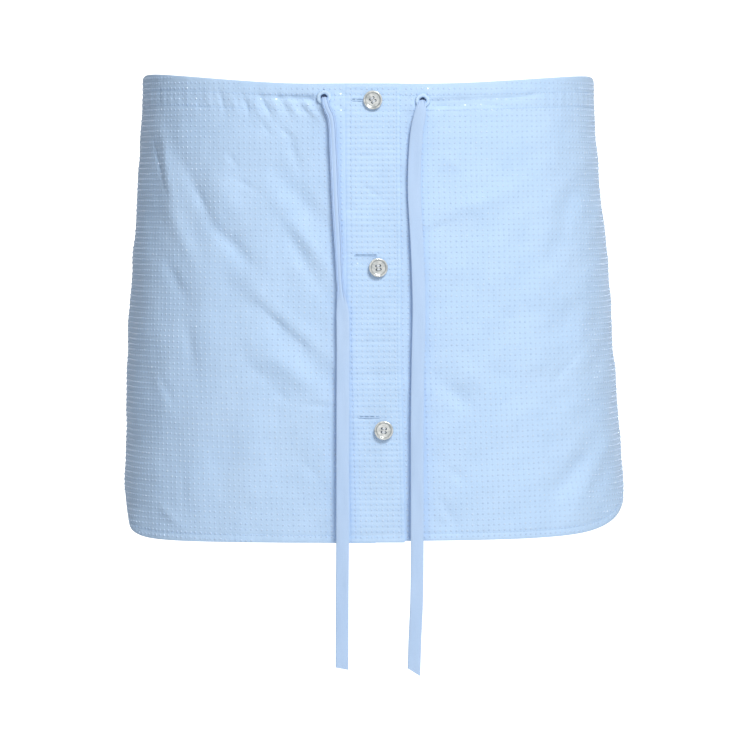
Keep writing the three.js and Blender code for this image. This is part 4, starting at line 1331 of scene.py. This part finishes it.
def pearl_material():
    """Pearly resin: pale grey with soft cloudy bands, darker in the groove inside the rim by painted
    shade, glossy under a clear skin."""
    resin = Surface("pearl_resin", roughness=0.2, metallic=0.25)
    resin.set("Coat Weight", 0.6)
    resin.set("Coat Roughness", 0.08)
    sockets = {"Vector": resin.object_place(), "Scale": CLOUD_SCALE, "Detail": 3.0, "Distortion": 1.6}
    bands = resin.node("ShaderNodeTexNoise", {}, sockets)
    place = {0: resin.cloth_place()}
    from_middle = resin.node("ShaderNodeVectorMath", {"operation": "LENGTH"}, place, "Value")
    # The groove inside the rim is darkened by painted shade.
    groove = (from_middle - GROOVE["radius"]) * (1 / GROOVE["half_width"])
    groove = (groove * groove * -1).math("EXPONENT")
    clouded = resin.mix((bands - 0.5) * 2.2 + 0.5, (0.42, 0.46, 0.48), (0.88, 0.90, 0.90))
    resin.set("Base Color", resin.mix(groove * GROOVE["shade"], clouded, (0.16, 0.19, 0.20)))
    return resin.material


pearl = pearl_material()
# Painted shade for the walls of the button holes.
painted_hole_shade = Surface("painted_hole_shade", roughness=0.5, base_color=(0.05, 0.055, 0.06)).material
white_thread = Surface("white_thread", roughness=0.5, base_color=(0.74, 0.79, 0.86)).material
for button_name, values in BUTTONS.items():
    make_button(button_name, *values)


# The shorts inside
# Plain poplin, one piece a leg, seamed at the centre front, centre back and inner leg, hung from the
# casing and hidden by the skirt. The legs end in a narrow turned hem.

SHORTS = {"top": 9, "crotch": -212, "hem": -262, "power": 2.4, "inset": 14, "from": -22, "to": -120}
SHORTS_CLOTH = 0.6
SHORTS_UNEVEN = (0.5, 46)
SHORTS_UV_GIRTH = 430
LEG_HALF_WIDTH = 76
LEG_HALF_DEPTH = 84
LEG_BACK = 4
LEG_GAP = {"crotch": 0.15, "hem": 5}


def leg_ring(share, z, down, inward, side):
    """A ring round the leg: an ellipse from the inner leg round the front and outside to the inner
    leg again, open by the width of its seam."""
    gap = LEG_GAP["crotch"] + (LEG_GAP["hem"] - LEG_GAP["crotch"]) * down
    wide, deep = LEG_HALF_WIDTH - inward, LEG_HALF_DEPTH - inward
    turn = (2 * share - 1) * (np.pi - SEAM_GAP / 2 / wide)
    drift = form_sizes(z.ravel())[3].reshape(z.shape)
    x = drift + side * (gap + LEG_HALF_WIDTH + wide * np.cos(turn))
    return np.stack([x, LEG_BACK + deep * np.sin(turn), z], axis=-1)


def shorts_leg(name, side):
    """Above the crotch each point is blended from the skirt's form, set in, to the ring round the
    leg, by 1 - cos(a)^(2/power) as its level drops by sin(a)^(2/power); below it rings go on."""
    angle = np.linspace(0, np.pi / 2, 46)
    drop = np.sin(angle) ** (2 / SHORTS["power"])
    ring = 1 - np.clip(np.cos(angle), 0, 1) ** (2 / SHORTS["power"])
    share = np.linspace(0, 1, 121)
    top = waist_edge(share * half_girth(0.0)) - SHORTS["top"]
    z = top[None] + (SHORTS["crotch"] - top[None]) * drop[:, None]
    whole = half_girth(z) - SEAM_GAP
    s = side * (SEAM_GAP / 2 + share[None] * whole)
    at_casing = WALL + SEAM_GAP
    lower_down = smoothstep(SHORTS["from"], SHORTS["to"], z)
    set_in = at_casing + (SHORTS["inset"] - at_casing) * lower_down
    down = np.linspace(0, 1, 19)[1:]
    leg_z = SHORTS["crotch"] + (SHORTS["hem"] - SHORTS["crotch"]) * down[:, None] + 0 * share[None]
    walls = []
    for depth in (0.0, SHORTS_CLOTH):
        point, normal = form_at(s.ravel(), z.ravel())
        skirt = (point - normal * (set_in.ravel() + depth)[:, None]).reshape(*s.shape, 3)
        leg = leg_ring(share[None] + 0 * z, z, 0.0, depth, side)
        upper = skirt + (leg - skirt) * ring[:, None, None]
        ripple = undulation(s.ravel(), z.ravel(), *SHORTS_UNEVEN, 8 + side).reshape(s.shape)
        soft = smoothstep(0, 60, top[None] - z) * (1 - ring[:, None])
        upper = upper + normal.reshape(*s.shape, 3) * (ripple * soft)[..., None]
        lower = leg_ring(share[None] + 0 * leg_z, leg_z, down[:, None], depth, side)
        walls.append(np.concatenate([upper, lower]))
    outer, inner = walls
    level = np.concatenate([z, leg_z])
    uv = np.stack([np.broadcast_to(side * share * SHORTS_UV_GIRTH, level.shape), level], axis=-1)
    made = add_wall(name, outer, inner[::INNER_EVERY], uv, plain_cotton, inside_out=side < 0)
    hem_line = outer[-5]
    outward = unit(hem_line - np.array([side * LEG_HALF_WIDTH, LEG_BACK, SHORTS["hem"]]))
    make_stitches(f"stitches_{name}_hem", hem_line[::side], outward[::side])
    return made


plain_cotton = poplin("plain_cotton", (0.52, 0.694, 0.96), (0.46, 0.644, 0.93))
for side, leg_name in ((-1, "shorts_right"), (1, "shorts_left")):
    shorts_leg(leg_name, side)


# The studio
# A pale floor out of the picture below, a white surround that lights the garment unevenly, and one
# large soft light from the upper right.

FLOOR_LEVEL = -620
FLOOR_HALF = 1100
FLOOR_CORNERS = [(-1, -1), (1, -1), (1, 1), (-1, 1)]
floor_data = bpy.data.meshes.new("floor")
floor_points = [(x * FLOOR_HALF * MM, y * FLOOR_HALF * MM, FLOOR_LEVEL * MM) for x, y in FLOOR_CORNERS]
floor_data.from_pydata(floor_points, [], [(0, 1, 2, 3)])
floor_data.materials.append(Surface("floor", roughness=0.9, base_color=(0.86, 0.86, 0.86)).material)
floor = bpy.data.objects.new("floor", floor_data)
bpy.context.scene.collection.objects.link(floor)

# How bright the surround is for the garment, by the y part of the direction, front to back.
SURROUND = [(-1.0, 0.66), (-0.5, 0.34), (0.1, 0.06), (0.55, 0.12), (0.85, 1.5)]
world = bpy.data.worlds.new("surround")
world.use_nodes = True
bpy.context.scene.world = world
sky = Nodes(world.node_tree)
(toward_back,) = sky.parts(sky.node("ShaderNodeTexCoord", output="Generated"), "Y")
ramp = sky.node("ShaderNodeValToRGB", {}, {0: toward_back * 0.5 + 0.5})
stops = ramp.output.node.color_ramp.elements
stops.remove(stops[-1])
stops[0].position = 0
for y, bright in SURROUND:
    stop = stops[0] if y == -1 else stops.new(y / 2 + 0.5)
    stop.color = (bright, bright, bright, 1)
surround = world.node_tree.nodes["Background"]
surround.inputs["Color"].default_value = (1, 1, 1, 1)
seen = sky.node("ShaderNodeLightPath", output="Is Camera Ray").math("MAXIMUM", ramp)
sky.feed(surround.inputs["Strength"], seen)

LIGHT_PLACE = (0.925, -2.31, 2.0)
LIGHT_TARGET = (0, 0, -0.16)
light_data = bpy.data.lights.new("key", "AREA")
light_data.size = 1.0
light_data.energy = 80
light_data.color = (1.0, 0.985, 0.93)
light = bpy.data.objects.new("key", light_data)
light.location = LIGHT_PLACE
toward = Vector(LIGHT_TARGET) - light.location
light.rotation_euler = toward.to_track_quat("-Z", "Y").to_euler()
bpy.context.scene.collection.objects.link(light)
